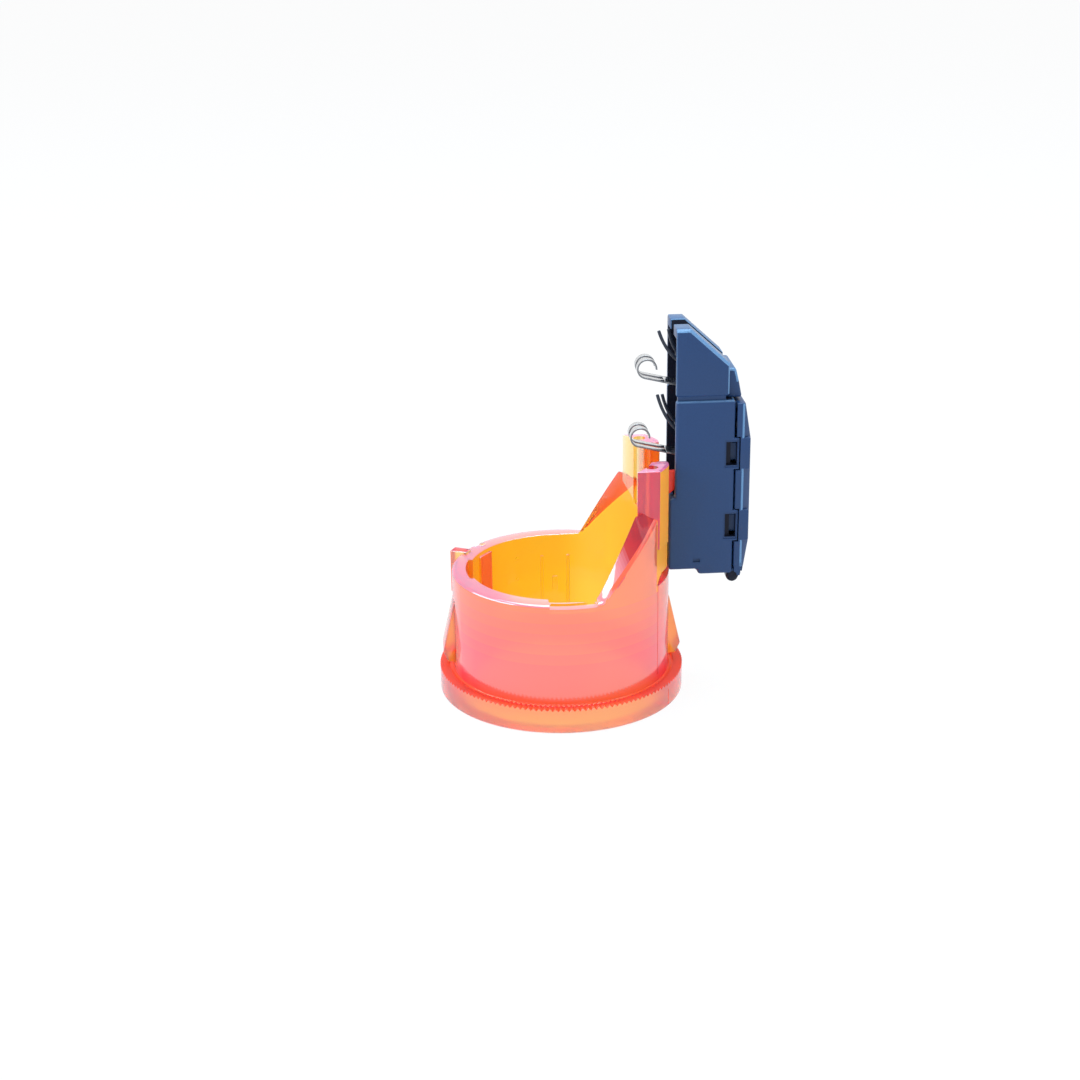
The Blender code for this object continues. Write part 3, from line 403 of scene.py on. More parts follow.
def bore_at(angle):
    share = (abs(angle) - WING_STEP) / STEP_BLEND + 0.5
    if share < 1:
        share = max(0.0, share)
        return WING_BORE + (BORE_RADIUS - WING_BORE) * share * share * (3 - 2 * share)
    if abs(angle) > POCKET_STEP:
        return POCKET_BORE
    return BORE_RADIUS


def soft_corner(before, corner, after, reach, steps=4):
    """The points of an outline's corner, rounded over a reach to each side."""
    before, corner, after = Vector(before), Vector(corner), Vector(after)
    start = corner + (before - corner).normalized() * reach
    end = corner + (after - corner).normalized() * reach
    shares = [step / steps for step in range(steps + 1)]
    return [tuple(start.lerp(corner, t).lerp(corner.lerp(end, t), t)) for t in shares]


def ring_section(angle):
    """Radius and height of the ring's section, from the bore's foot round the flange and over the rim."""
    outer, inner = rim_heights(angle)
    bore = bore_at(angle)
    tooth = tooth_height(angle)
    band = FLANGE_RADIUS - TOOTH_BAND
    edge, inner_edge = (BODY_RADIUS, outer), (bore, inner)
    section = [(LEAD_RADIUS, 0.0)]
    section += soft_corner((LEAD_RADIUS, 0), (FLANGE_RADIUS, 0), (FLANGE_RADIUS, tooth), EDGE_ROUND)
    section += [(FLANGE_RADIUS, tooth - TOOTH_EDGE), (FLANGE_RADIUS - TOOTH_EDGE, tooth)]
    section += [(band, tooth), (band, FLANGE_TOP)]
    section += soft_corner((band, FLANGE_TOP), (BODY_RADIUS, FLANGE_TOP), edge, EDGE_ROUND)
    section += [(BODY_RADIUS, height) for height in WALL_ROWS]
    section += soft_corner((BODY_RADIUS, 0), edge, inner_edge, RIM_ROUND)
    section += soft_corner(edge, inner_edge, (bore, 0), INNER_ROUND)
    return section + [(bore, LEAD_RADIUS - BORE_RADIUS + LEAD_STRAIGHT), (LEAD_RADIUS, LEAD_STRAIGHT)]


def ring_angles():
    """Two columns for each tooth, and a close pair at each step in the section."""
    steps = (POCKET_STEP, POST_WALL)
    pairs = [side * (step + way * STEP_WIDTH / 2) for step in steps for side in (-1, 1) for way in (-1, 1)]
    even = [-pi + pi * (column + 1) / TOOTH_COUNT for column in range(2 * TOOTH_COUNT)]
    clear = [a for a in even if all(abs(a - pair) > STEP_WIDTH for pair in pairs)]
    return sorted(clear + pairs)


def ring_loft():
    bm = bmesh.new()
    columns = []
    for angle in ring_angles():
        section = ring_section(angle)
        columns.append([bm.verts.new((r * cos(angle), r * sin(angle), z)) for r, z in section])
    for column, following in zip(columns, columns[1:] + columns[:1]):
        for corner in range(len(column)):
            bm.faces.new((column[corner - 1], following[corner - 1], following[corner], column[corner]))
    return new_object("ring", bm)


def screw_post(side, steps=10):
    """A post that follows the wall's curve, tapered into the wing below the shoulder."""
    plan = []
    outside = (BODY_RADIUS + POST_PROUD, POST_FAR, POST_NEAR)
    inside = (POST_BORE, POST_NEAR, POST_FAR)
    for radius, start, end in (outside, inside):
        first, last = asin(start / radius), asin(end / radius)
        plan += arc((0, 0), radius, first, last - first, steps)
    plan = [(x, side * y) for x, y in plan]
    post = plate(plan, POST_TOP - POST_LENGTH, POST_TOP, soft=0.1, upright=False)
    left, right = min(x for x, y in plan), WING_BORE + 0.1
    taper_end = POST_TAPER_TOP - POST_TAPER_SLOPE * (right - left)
    below = [(left - 1, POST_TAPER_TOP + POST_TAPER_SLOPE), (left - 1, 0), (right, 0), (right, taper_end)]
    return cut(post, plate(below, -BODY_RADIUS, BODY_RADIUS))


def pilot_hole(side):
    top = Vector((PILOT_PLACE.x, side * PILOT_PLACE.y, POST_TOP + 1))
    return rod(top - Vector((0, 0, PILOT_DEPTH + 1)), top, PILOT_RADIUS)


def sector(inner, outer, half_angle, middle=0.0, steps=40):
    outside = arc((0, 0), outer, middle - half_angle, 2 * half_angle, steps)
    return outside + arc((0, 0), inner, middle + half_angle, -2 * half_angle, steps)


def foot_slot(steps=60):
    """The slot in the wall under the module's foot, lower towards its ends."""
    bm = bmesh.new()
    columns = []
    for step in range(steps + 1):
        angle = SLOT_ANGLE * (2 * step / steps - 1)
        share = min(1.0, (SLOT_ANGLE - abs(angle)) / SLOT_RUNOUT)
        rise = SLOT_END_RISE + (1 - SLOT_END_RISE) * sin(share * pi / 2)
        high = SLOT_FLOOR + (SLOT_TOP - SLOT_FLOOR) * rise
        corners = [
            (SLOT_BOTTOM, SLOT_FLOOR),
            (FLANGE_RADIUS, SLOT_FLOOR),
            (FLANGE_RADIUS, high),
            (SLOT_BOTTOM, high),
        ]
        columns.append([bm.verts.new((r * cos(angle), r * sin(angle), z)) for r, z in corners])
    for column, following in zip(columns, columns[1:]):
        for corner in range(4):
            bm.faces.new((column[corner - 1], following[corner - 1], following[corner], column[corner]))
    bm.faces.new(columns[0])
    bm.faces.new(columns[-1])
    return new_object("slot", bm)


def standing(angle, near, far, low, high, half_width, soft=0.0):
    """A block that stands on the ring at an angle, between two radii."""
    made = block((near, -half_width, low), (far, half_width, high), soft)
    made.data.transform(Matrix.Rotation(angle, 4, "Z"))
    return made


def bore_ribs():
    """A broad rib beside the left pocket, and two slim ones with a small boss on the far wall."""
    for angle, inner, foot, top, half_width, soft in BORE_RIBS:
        yield standing(radians(angle), inner, RIB_ROOT, foot, top, half_width, soft)


def fine_marks():
    """Cutters for parting lines outside, a notch and a pocket in the rim, and two specks in the bore."""
    line_low, line_high = FLANGE_TOP + 0.9, SLOT_FLOOR - 0.05
    for side in (-1, 1):
        skin = BODY_RADIUS - LINE_DEPTH
        yield standing(side * PARTING_ANGLE, skin, BODY_RADIUS + 1, line_low, line_high, LINE_HALF)
        skin = FLANGE_RADIUS - LINE_DEPTH
        yield standing(side * FLANGE_LINE_ANGLE, skin, FLANGE_RADIUS + 1, *FLANGE_LINE_ENDS, LINE_HALF)
    low = RIM_HEIGHT - SIDE_NOTCH_DEPTH
    yield standing(SIDE_NOTCH_ANGLE, SIDE_NOTCH_RADIUS, FLANGE_RADIUS, low, POST_TOP, SIDE_NOTCH_HALF)
    pocket = sector(*RIM_POCKET_RADII, RIM_POCKET_HALF, RIM_POCKET_ANGLE)
    yield plate(pocket, RIM_HEIGHT - RIM_POCKET_DEPTH, RIM_HEIGHT + 1, upright=False)
    for height in SPECK_HEIGHTS:
        place = Vector((BORE_RADIUS, 0, height))
        floor = place + Vector((SPECK_DEPTH, 0, 0))
        speck = rod(place - Vector((0.5, 0, 0)), floor, SPECK_RADIUS, sides=12)
        speck.data.transform(Matrix.Rotation(SPECK_ANGLE, 4, "Z"))
        yield speck


def module_hook():
    """The hook behind the near post that the module hangs on."""
    end = SEAT_X + HOOK_REACH
    foot = LIP_TOP + FIT
    top = foot + HOOK_HEIGHT
    root = WING_BORE + FIT
    outline = [(root, foot), (SEAT_X + FIT, foot), (end, foot + HOOK_RISE), (end, top), (root, top)]
    return plate(outline, FIT - INSIDE, FIT - INSIDE + HOOK_WIDTH, soft=0.08)


def tongue_window(side):
    low, high = span("right_snap_tongue" if side > 0 else "left_snap_tongue")
    room = 0.3
    ends = sorted((side * (BORE_RADIUS - 1), side * FLANGE_RADIUS))
    return block((ends[0], low.y - room, low.z - 2 * room), (ends[1], high.y + room, high.z + room))


def share_between(value, low, high):
    return min(1.0, max(0.0, (value - low) / (high - low)))


def mixed(first, second, share):
    """A look between two, each given by name or as it is."""
    first, second = (LOOKS[look] if isinstance(look, str) else look for look in (first, second))
    return [a + (b - a) * share for a, b in zip(first, second)]


def ring_look(centre, normal):
    """The look of each face, by where it lies and which way it faces. Most looks are painted light and
    shade.
    """
    out = Vector((centre.x, centre.y, 0))
    radius, angle = out.length, degrees(atan2(centre.y, centre.x))
    facing = normal.dot(out.normalized())
    near, wing = centre.y < 0, centre.z > RIM_HEIGHT + 0.3
    # Tooth tops are painted lighter than their flanks, which carry painted dark red shade.
    if radius > FLANGE_RADIUS - TOOTH_BAND - 0.02 and FLANGE_TOP - 0.1 < centre.z:
        return LOOKS["tooth" if normal.z > 0.7 else "flank"]
    if radius > BODY_RADIUS + 0.02 and centre.z < FLANGE_TOP + EDGE_ROUND and normal.z > 0.3:
        return LOOKS["trough"]
    if SLOT_FLOOR - 0.05 < centre.z < SLOT_TOP and facing > 0.5 and abs(radius - SLOT_BOTTOM) < 0.05:
        return LOOKS["slot"]
    if centre.x > SEAT_X + FIT / 4 and centre.z > LEDGE_HEIGHT + FIT:
        return LOOKS["hook"]
    # Parting lines get the flanks' painted dark red shade.
    if abs(abs(angle) - degrees(PARTING_ANGLE)) < 2.0 and facing < 0.5 and radius > BODY_RADIUS - 0.12:
        return LOOKS["flank"]
    if facing < -0.7 and radius < POST_BORE + 0.1 and wing:
        return LOOKS["post_side"]
    if facing < -0.7 and radius < BODY_RADIUS - 1:
        rib = radius < BORE_RADIUS - 0.3 and abs(angle - BROAD_RIB_ANGLE) < 8
        return LOOKS["rib" if rib else "bore"]
    if centre.z > POST_TOP - 0.1:
        return LOOKS["post_top"]
    if wing and abs(normal.y) > 0.9 and abs(normal.z) < 0.1 and near:
        return LOOKS["post_front"]
    if centre.z > SLOT_TOP and facing > 0.7 and radius > BODY_RADIUS - 0.1 and abs(angle) < 35:
        return LOOKS["post_back"]
    if wing and centre.z < SHOULDER_HEIGHT + 0.1 and normal.z > 0.15 and radius > BORE_RADIUS:
        if not near:
            return LOOKS["far_ramp"]
        # On the near ramp, the rim's painted pink reflection low down turns into painted red along the
        # outer edge and painted dark red shade further in.
        if radius > BODY_RADIUS - 0.4:
            return mixed("rim", "ramp_edge", share_between(centre.z, RIM_HEIGHT + 0.3, RIM_HEIGHT + 1.5))
        return mixed("rim", "near_ramp", share_between(centre.z, RIM_HEIGHT + 2.5, RIM_HEIGHT + 5.5))
    # The outer wall facing -Y is painted a deeper red that is darker towards the foot. Faces turned aside
    # keep the outside tint.
    if normal.z < 0.4 and facing > 0.3 and BODY_RADIUS - 0.6 < radius < BODY_RADIUS + 0.3:
        wall = mixed("foot", "wall", share_between(centre.z, FOOT_LOOK_TOP, RIM_HEIGHT))
        return mixed(wall, "outside", share_between(normal.y, -0.35, 0.15))
    if radius > FLANGE_RADIUS - EDGE_ROUND and facing > 0.5:
        return LOOKS["flange"]
    return LOOKS["rim" if normal.z > 0.4 else "outside"]


def light_ring(material):
    ring = ring_loft()
    key_ends = (RIM_HEIGHT - KEY_DROP, RIM_HEIGHT + KEY_RISE)
    key = standing(KEY_ANGLE, BODY_RADIUS - 1, BODY_RADIUS + KEY_PROUD, *key_ends, KEY_HALF, soft=0.15)
    ring = fused(ring, screw_post(-1), screw_post(1), key, *bore_ribs())
    far = 2 * BODY_RADIUS
    above = POST_TOP + 1
    ring = cut(
        ring,
        block((SEAT_X, -far, LEDGE_HEIGHT), (far, far, above)),
        block((0, -OPENING_HALF, OPENING_FLOOR), (far, OPENING_HALF, above)),
        foot_slot(),
        block((NOTCH[0], -far, RIM_HEIGHT - NOTCH_DEPTH), (NOTCH[1], 0, above)),
        tongue_window(-1),
        tongue_window(1),
        pilot_hole(-1),
        pilot_hole(1),
        *fine_marks(),
    )
    ring = fused(ring, module_hook())
    painted(ring, ring_look)
    return dressed(ring, "light_ring", material)


def snap_tongue(node, material):
    low, high = span(node)
    side = 1 if high.x > 0 else -1
    inside = TONGUE_OUTSIDE - TONGUE_WALL
    outline = [
        (inside, high.z),
        (TONGUE_OUTSIDE, high.z),
        (BARB_TIP, low.z + BARB_HEIGHT),
        (BARB_TIP - BARB_NOSE, low.z + 0.1),
        (TONGUE_OUTSIDE, low.z),
        (inside, low.z),
    ]
    tongue = plate([(side * x, z) for x, z in outline], low.y, high.y, soft=0.15)
    # Front faces get the tongue look, a painted deeper orange.
    painted(tongue, lambda centre, normal: LOOKS["tongue" if normal.y < -0.7 else "outside"])
    return dressed(tongue, node, material)


def slope_at(x):
    """The height of the module's sloping roof."""
    return MODULE_TOP - max(0.0, x - ROOF_START) * ROOF_SLOPE


def lower_shell():
    """The plate below the crease, with the front lip and the step in its foot."""
    top = CREASE_Z - CREASE_GAP / 2
    foot = MODULE_FOOT - FOOT_DROP
    outline = [
        (LIP_X, top),
        (MODULE_REAR, top),
        (MODULE_REAR, foot),
        (FOOT_STEP, foot),
        (FOOT_STEP - FOOT_SLANT, MODULE_FOOT),
        (MODULE_X, MODULE_FOOT),
        (MODULE_X, LIP_TOP),
        (LIP_X, LIP_TOP),
    ]
    return plate(outline, -HALF, HALF, soft=0.35, steps=4)


def crease_neck():
    """What joins the shell above the crease to the plate below it."""
    low = (LIP_X + FIT, CREASE_DEPTH - HALF, CREASE_Z - 1)
    return block(low, (UPPER_REAR - CREASE_DEPTH, HALF - CREASE_DEPTH, CREASE_Z + 1))


def roof_ridge(side):
    """One of the two sloping ridges beside the top slot, chamfered along its outer edge."""
    foot = CREASE_Z + CREASE_GAP / 2
    outline = [
        (LIP_X, foot),
        (LIP_X, MODULE_TOP),
        (ROOF_START, MODULE_TOP),
        (UPPER_REAR, slope_at(UPPER_REAR)),
        (UPPER_REAR, foot),
    ]
    outer = side * (HALF - UPPER_INSET)
    ridge = plate(outline, *sorted((side * TOP_SLOT_HALF, outer)))
    bm = bmesh.new()
    bm.from_mesh(ridge.data)
    rounded(bm, 0.36, 1, where=lambda p: abs(p.y - outer) < 0.01 and p.z > foot + 0.1)
    rounded(bm, 0.3, 4, where=lambda p: abs(p.y - outer) < 0.01 and p.x > UPPER_REAR - 0.01)
    rounded(bm, 0.25, 4, where=lambda p: p.z < foot + 0.01)
    rounded(bm, 0.1, 2)
    bm.to_mesh(ridge.data)
    bm.free()
    return ridge


def roof_middle():
    """What joins the ridges below the top slot."""
    low = (LIP_X, -TOP_SLOT_HALF - 0.5, CREASE_Z + CREASE_GAP / 2 + 0.35)
    return block(low, (UPPER_REAR, TOP_SLOT_HALF + 0.5, slope_at(UPPER_REAR) - WALL / 2))


def shell_room():
    """The room inside, open to the front above the lip and to the rear below the crease."""
    floor = MODULE_FOOT + WALL
    rear = UPPER_REAR - WALL
    ceiling = CREASE_Z - 0.5 - WALL
    front = MODULE_X - 2 * FIT
    roof = WALL * hypot(1, ROOF_SLOPE)
    outline = [
        (LIP_X, floor),
        (COVER_FACE, floor),
        (COVER_FACE, ceiling),
        (rear, ceiling),
        (rear, slope_at(rear) - roof),
        (ROOF_START, MODULE_TOP - roof),
        (front, MODULE_TOP - roof),
        (front, LIP_TOP),
        (LIP_X, LIP_TOP),
    ]
    return plate(outline, -INSIDE, INSIDE)


def hood_side(front, foot, rear, shoulder, top):
    bend = (rear - 0.4, foot + (top - foot) * 0.55)
    return [(front, foot), (rear, foot), bend, (shoulder, top), (front, top)]


def wire_hood():
    rear = UPPER_REAR + HOOD_REACH
    top = slope_at(HOOD_SHOULDER)
    outline = hood_side(UPPER_REAR - WALL / 2, HOOD_FOOT, rear, HOOD_SHOULDER, top)
    return plate(outline, -HOOD_HALF, HOOD_HALF, soft=0.3)


def hood_room():
    rear = UPPER_REAR + HOOD_REACH - WALL
    top = slope_at(HOOD_SHOULDER) - WALL * hypot(1, ROOF_SLOPE)
    outline = hood_side(UPPER_REAR - 2 * WALL, HOOD_FOOT - WALL, rear, HOOD_SHOULDER - WALL / 2, top)
    return plate(outline, WALL - HOOD_HALF, HOOD_HALF - WALL)


def both_sides(low, high, soft=0.0):
    """A block given for +Y, and its mirror image."""
    yield block(low, high, soft)
    yield block((low[0], -high[1], low[2]), (high[0], -low[1], high[2]), soft)


def ears():
    for middle in EAR_MIDDLES:
        low = (MODULE_REAR - WALL, INSIDE, middle - EAR_HALF)
        yield from both_sides(low, (EAR_REAR, HALF, middle + EAR_HALF), soft=0.1)


def latch_windows():
    """A shallow frame round each latch window, a pocket in it, and the window at the pocket's rear."""
    pocket_rear, front, rear = EAR_REAR - 0.9, EAR_REAR - 1.0, EAR_REAR - 0.25
    for middle in EAR_MIDDLES:
        low = (EAR_REAR - FRAME_LENGTH, HALF - FRAME_DEPTH, middle - FRAME_HALF)
        yield from both_sides(low, (EAR_REAR - FRAME_DEPTH, 2 * HALF, middle + FRAME_HALF))
        low = (EAR_REAR - WINDOW_LENGTH, HALF - WINDOW_DEPTH, middle - WINDOW_HALF)
        yield from both_sides(low, (pocket_rear, 2 * HALF, middle + WINDOW_HALF))
        low = (front, -2 * HALF, middle - WINDOW_HALF)
        yield block(low, (rear, 2 * HALF, middle + WINDOW_HALF))


def knuckle(side):
    """A hinge barrel with a rounded outer end, on a web under the floor."""
    inner, outer = HINGE_REACH - KNUCKLE_LENGTH, HINGE_REACH + 0.15
    ends = [Vector((HINGE.x, side * reach, HINGE.z)) for reach in (inner, outer)]
    barrel = rod(*ends, KNUCKLE_RADIUS, soft=0.3)
    drop = Vector((-0.05, 0, -0.25))
    ends = [Vector((HINGE.x, side * reach, HINGE.z)) + drop for reach in (inner, outer - 0.05)]
    lower = rod(*ends, KNUCKLE_RADIUS - 0.03, soft=0.35)
    ends = sorted((side * inner, side * HINGE_REACH))
    web_low = (HINGE.x - KNUCKLE_RADIUS, ends[0], HINGE.z)
    return fused(barrel, lower, block(web_low, (MODULE_REAR, ends[1], MODULE_FOOT + WALL / 2)))


def moulding_mark():
    """A small dent near the foot, left by the mould."""
    low = (DENT_ENDS[0], -HALF - 1, DENT_HEIGHTS[0])
    return block(low, (DENT_ENDS[1], DENT_DEPTH - HALF, DENT_HEIGHTS[1]), soft=0.05)


def module_housing(material):
    shell = fused(lower_shell(), crease_neck(), roof_ridge(-1), roof_ridge(1), roof_middle(), wire_hood())
    shell = fused(cut(shell, shell_room(), hood_room()), *ears(), knuckle(-1), knuckle(1))
    barrel = HINGE_REACH - KNUCKLE_LENGTH - FIT / 2
    shell = cut(
        shell,
        *latch_windows(),
        rod((MODULE_X - 1, 0, LAMP_Z), (CARRIER_FRONT, 0, LAMP_Z), LAMP_HOLE),
        rod((HINGE.x, -barrel, HINGE.z), (HINGE.x, barrel, HINGE.z), KNUCKLE_RADIUS + FIT),
        moulding_mark(),
    )
    dressed(shell, "module_housing", material)
    # Further materials: painted shade, painted light on tops and painted highlights on edges.
    for tone in (PAINTED_SHADE, NAVY_LIT_TOP, NAVY_HIGHLIGHT):
        shell.data.materials.append(tone)
    for face in shell.data.polygons:
        face.material_index = shell_tone(TO_FRAME.inverted() @ face.center, face.normal)
    return shell


def shell_tone(place, normal):
    """Which of the module's materials a face has, in the order in which they are added: plain, painted
    shade, painted light on tops and painted highlights on edges.
    """
    plain, shaded, top, edge = range(4)
    if in_shade(place):
        return shaded
    if place.z < CREASE_Z - 2 * CREASE_GAP:
        return plain
    roof = place.z > CREASE_Z + 1
    if roof and abs(normal.y) > 0.2 and max(normal.z, normal.x) > 0.25:
        return edge
    # Rounded front edges of the roof also get the painted top light.
    rounded_front = roof and normal.x < -0.3 and abs(normal.y) > 0.3
    return top if normal.z > 0.3 or rounded_front else plain


def in_shade(place):
    """Whether a place is inside the open front, in the top slot, in a latch window or under the hinge."""
    if place.x > HINGE.x - KNUCKLE_RADIUS and place.z < MODULE_FOOT - FOOT_DROP:
        return True
    pocket = EAR_REAR - WINDOW_LENGTH
    level = min(abs(place.z - middle) for middle in EAR_MIDDLES)
    if place.x > pocket - 0.01 and level < WINDOW_HALF + 0.01 and INSIDE < abs(place.y) < HALF - 0.15:
        return True
    if not LIP_X + 0.01 < place.x < UPPER_REAR - WALL + 0.02:
        return False
    room = abs(place.y) < INSIDE + 0.02 and LIP_TOP < place.z < slope_at(place.x) - WALL
    return room or (abs(place.y) < TOP_SLOT_HALF + 0.01 and place.z > CREASE_Z)


def cover_body():
    """The cover's plate, with a cheek at each side that reaches down past the hinge knuckles."""
    shoulder_drop, foot_rise, foot_inset = 4.9, 4.5, 0.69
    cheek_foot = HINGE.z - 0.05
    cheek_rear = COVER_FACE - COVER_CHAMFER
    clear = HINGE.x + KNUCKLE_RADIUS + FIT
    barrel = HINGE.z + KNUCKLE_RADIUS + FIT
    top = COVER_HIGH.z
    profile = [
        (COVER_FRONT, top),
        (COVER_SHOULDER, top),
        (COVER_FACE, top - shoulder_drop),
        (COVER_FACE, cheek_foot + foot_rise),
        (COVER_FACE - foot_inset, barrel),
        (COVER_FRONT, barrel),
    ]
    plan = [
        (CARRIER_FRONT, -HALF),
        (cheek_rear, -HALF),
        (COVER_FACE, COVER_CHAMFER - HALF),
        (COVER_FACE, HALF - COVER_CHAMFER),
        (cheek_rear, HALF),
        (CARRIER_FRONT, HALF),
    ]
    column = plate(plan, 0, MODULE_TOP, upright=False)
    body = softened(combined(plate(profile, -HALF, HALF), [column], "INTERSECT"), 0.22)
    cheek = [
        (COVER_FRONT + 0.1, barrel + 0.6),
        (cheek_rear, barrel + 0.6),
        (cheek_rear, cheek_foot + 0.3),
        (cheek_rear - 0.08, cheek_foot),
        (COVER_FRONT + 0.1, cheek_foot),
    ]
    inner, outer = HINGE_REACH + 0.22, HALF - 0.01
    cheeks = [plate(cheek, *sorted((side * inner, side * outer))) for side in (-1, 1)]
    skirt = [
        (clear, barrel + 0.5),
        (clear + 0.35, barrel + 0.5),
        (clear + 0.18, cheek_foot + 0.4),
        (clear, cheek_foot + 0.4),
    ]
    return fused(body, plate(skirt, 0.5 - HALF, HALF - 0.5), *cheeks)


def terminal_cover(material):
    top = COVER_HIGH.z
    inside = HALF - COVER_WALL
    room_low = (CARRIER_FRONT, -inside, MODULE_FOOT + 2 * COVER_WALL)
    cutters = [
        block(room_low, (COVER_FACE - COVER_WALL, inside, top - COVER_WALL)),
        *both_sides((CARRIER_FRONT, INSIDE, EAR_MIDDLES[1]), (COVER_FRONT + 0.1, 2 * HALF, top + 1)),
    ]
    arms = []
    for middle in EAR_MIDDLES:
        reach = EAR_HALF + LATCH_GAP
        low = (CARRIER_FRONT, INSIDE - FIT, middle - reach)
        cutters += both_sides(low, (EAR_REAR + LATCH_GAP, 2 * HALF, middle + reach))
        low = (MODULE_REAR - 0.45, INSIDE - FIT - 0.7, middle - 1.1)
        arms += both_sides(low, (COVER_FACE - COVER_WALL / 2, INSIDE - FIT, middle + 1.1), soft=0.08)
        low = (EAR_REAR + LATCH_GAP, INSIDE, middle - EAR_HALF)
        arms += both_sides(low, (COVER_FACE - 0.25, HALF + 0.01, middle + EAR_HALF), soft=0.12)
    cover = fused(cut(cover_body(), *cutters), *arms)
    half = HINGE_REACH - KNUCKLE_LENGTH - FIT
    barrel = rod((HINGE.x, -half, HINGE.z), (HINGE.x, half, HINGE.z), KNUCKLE_RADIUS)
    web = block((HINGE.x, -half, HINGE.z), (COVER_SHOULDER, half, MODULE_FOOT + COVER_WALL))
    hole = rod((HINGE.x, -HALF, HINGE.z), (HINGE.x, HALF, HINGE.z), HINGE_HOLE)
    cover = dressed(cut(fused(cover, web, barrel), hole), "terminal_cover", material)
    # Painted highlights on the rear chamfer between the ears.
    cover.data.materials.append(NAVY_HIGHLIGHT)
    for face in cover.data.polygons:
        height = face.center.z / MM
        between_ears = all(abs(height - middle) > EAR_HALF for middle in EAR_MIDDLES)
        edge = 0.15 < face.normal.x < 0.6 and abs(face.normal.y) > 0.75
        face.material_index = int(edge and between_ears)
    return cover


def ribbon(path, half_widths, thickness, middle=0.0, soft=0.05):
    """A strip that follows a path in X and Z, as wide at each point as its half width says."""
    bm = bmesh.new()
    rows = []
    points = [Vector(point) for point in path]
    for index, point in enumerate(points):
        ahead = points[min(index + 1, len(points) - 1)] - points[max(index - 1, 0)]
        across = Vector((-ahead.y, ahead.x)).normalized() * thickness / 2
        half = half_widths[index]
        upper, lower = point + across, point - across
        corners = ((upper, -half), (upper, half), (lower, half), (lower, -half))
        rows.append([bm.verts.new((p.x, middle + y, p.y)) for p, y in corners])
    for row, following in zip(rows, rows[1:]):
        for corner in range(4):
            bm.faces.new((row[corner - 1], row[corner], following[corner], following[corner - 1]))
    bm.faces.new(rows[0])
    bm.faces.new(reversed(rows[-1]))
    bmesh.ops.recalc_face_normals(bm, faces=bm.faces)
    rounded(bm, soft, 2, sharper_than=60.0)
    return new_object("ribbon", bm)


def contact_spring(node, pivot, length, material):
    """A bifurcated strip that leaves the carrier uphill and ends in a curl."""
    pitch, radius, turn, steps = radians(13.5), 1.15, radians(262.0), 40
    away = Vector((-cos(pitch), sin(pitch)))
    root = Vector((pivot.x, pivot.z))
    bend = root + away * length
    centre = bend + Vector((away.y, -away.x)) * radius
    held, slit_start, half, slit, thickness = 0.35, CARRIER_FRONT - 1.6, 1.4, 0.4, 0.22
    straight = [root - away * held] + [root + away * length * step / 8 for step in range(1, 8)]
    path = straight + arc(centre, radius, -pi / 2 - pitch, -turn, steps)
    slit_from = next(i for i, p in enumerate(path) if p[0] < slit_start)
    strip = ribbon(path[: slit_from + 1], [half] * (slit_from + 1), thickness)
    tines = []
    for side in (-1, 1):
        tine = path[slit_from:]
        tines.append(ribbon(tine, [(half - slit) / 2] * len(tine), thickness, side * (half + slit) / 2))
    spring = dressed(fused(strip, *tines), node, material)
    # Painted shade on the strip's thin edges.
    spring.data.materials.append(EDGE_SHADE)
    for face in spring.data.polygons:
        face.material_index = int(abs(face.normal.y) > 0.6)
    return spring


def guide_fork(node, pivot, fingers, material):
    """Two curved fingers with thinned tips on one bar."""
    half, width, thickness, steps = 2.5, 0.7, 0.4, 24
    bar_low = (CARRIER_FRONT - thickness, -half, pivot.z - thickness)
    fork = block(bar_low, (pivot.x + 0.5, half, pivot.z + thickness), soft=0.1)
    for side, (reach, rise) in fingers:
        path, halves = [], []
        for step in range(steps + 1):
            t = step / steps
            forward, up = (t * t + 2 * t * (1 - t) * share for share in (0.7, 0.25))
            path.append((pivot.x - reach * forward, pivot.z + rise * up))
            halves.append(width / 2 * (1 - 0.45 * t**3))
        fork = fused(fork, ribbon(path, halves, thickness, side * (half - width / 2), soft=0.08))
    return dressed(fork, node, material)


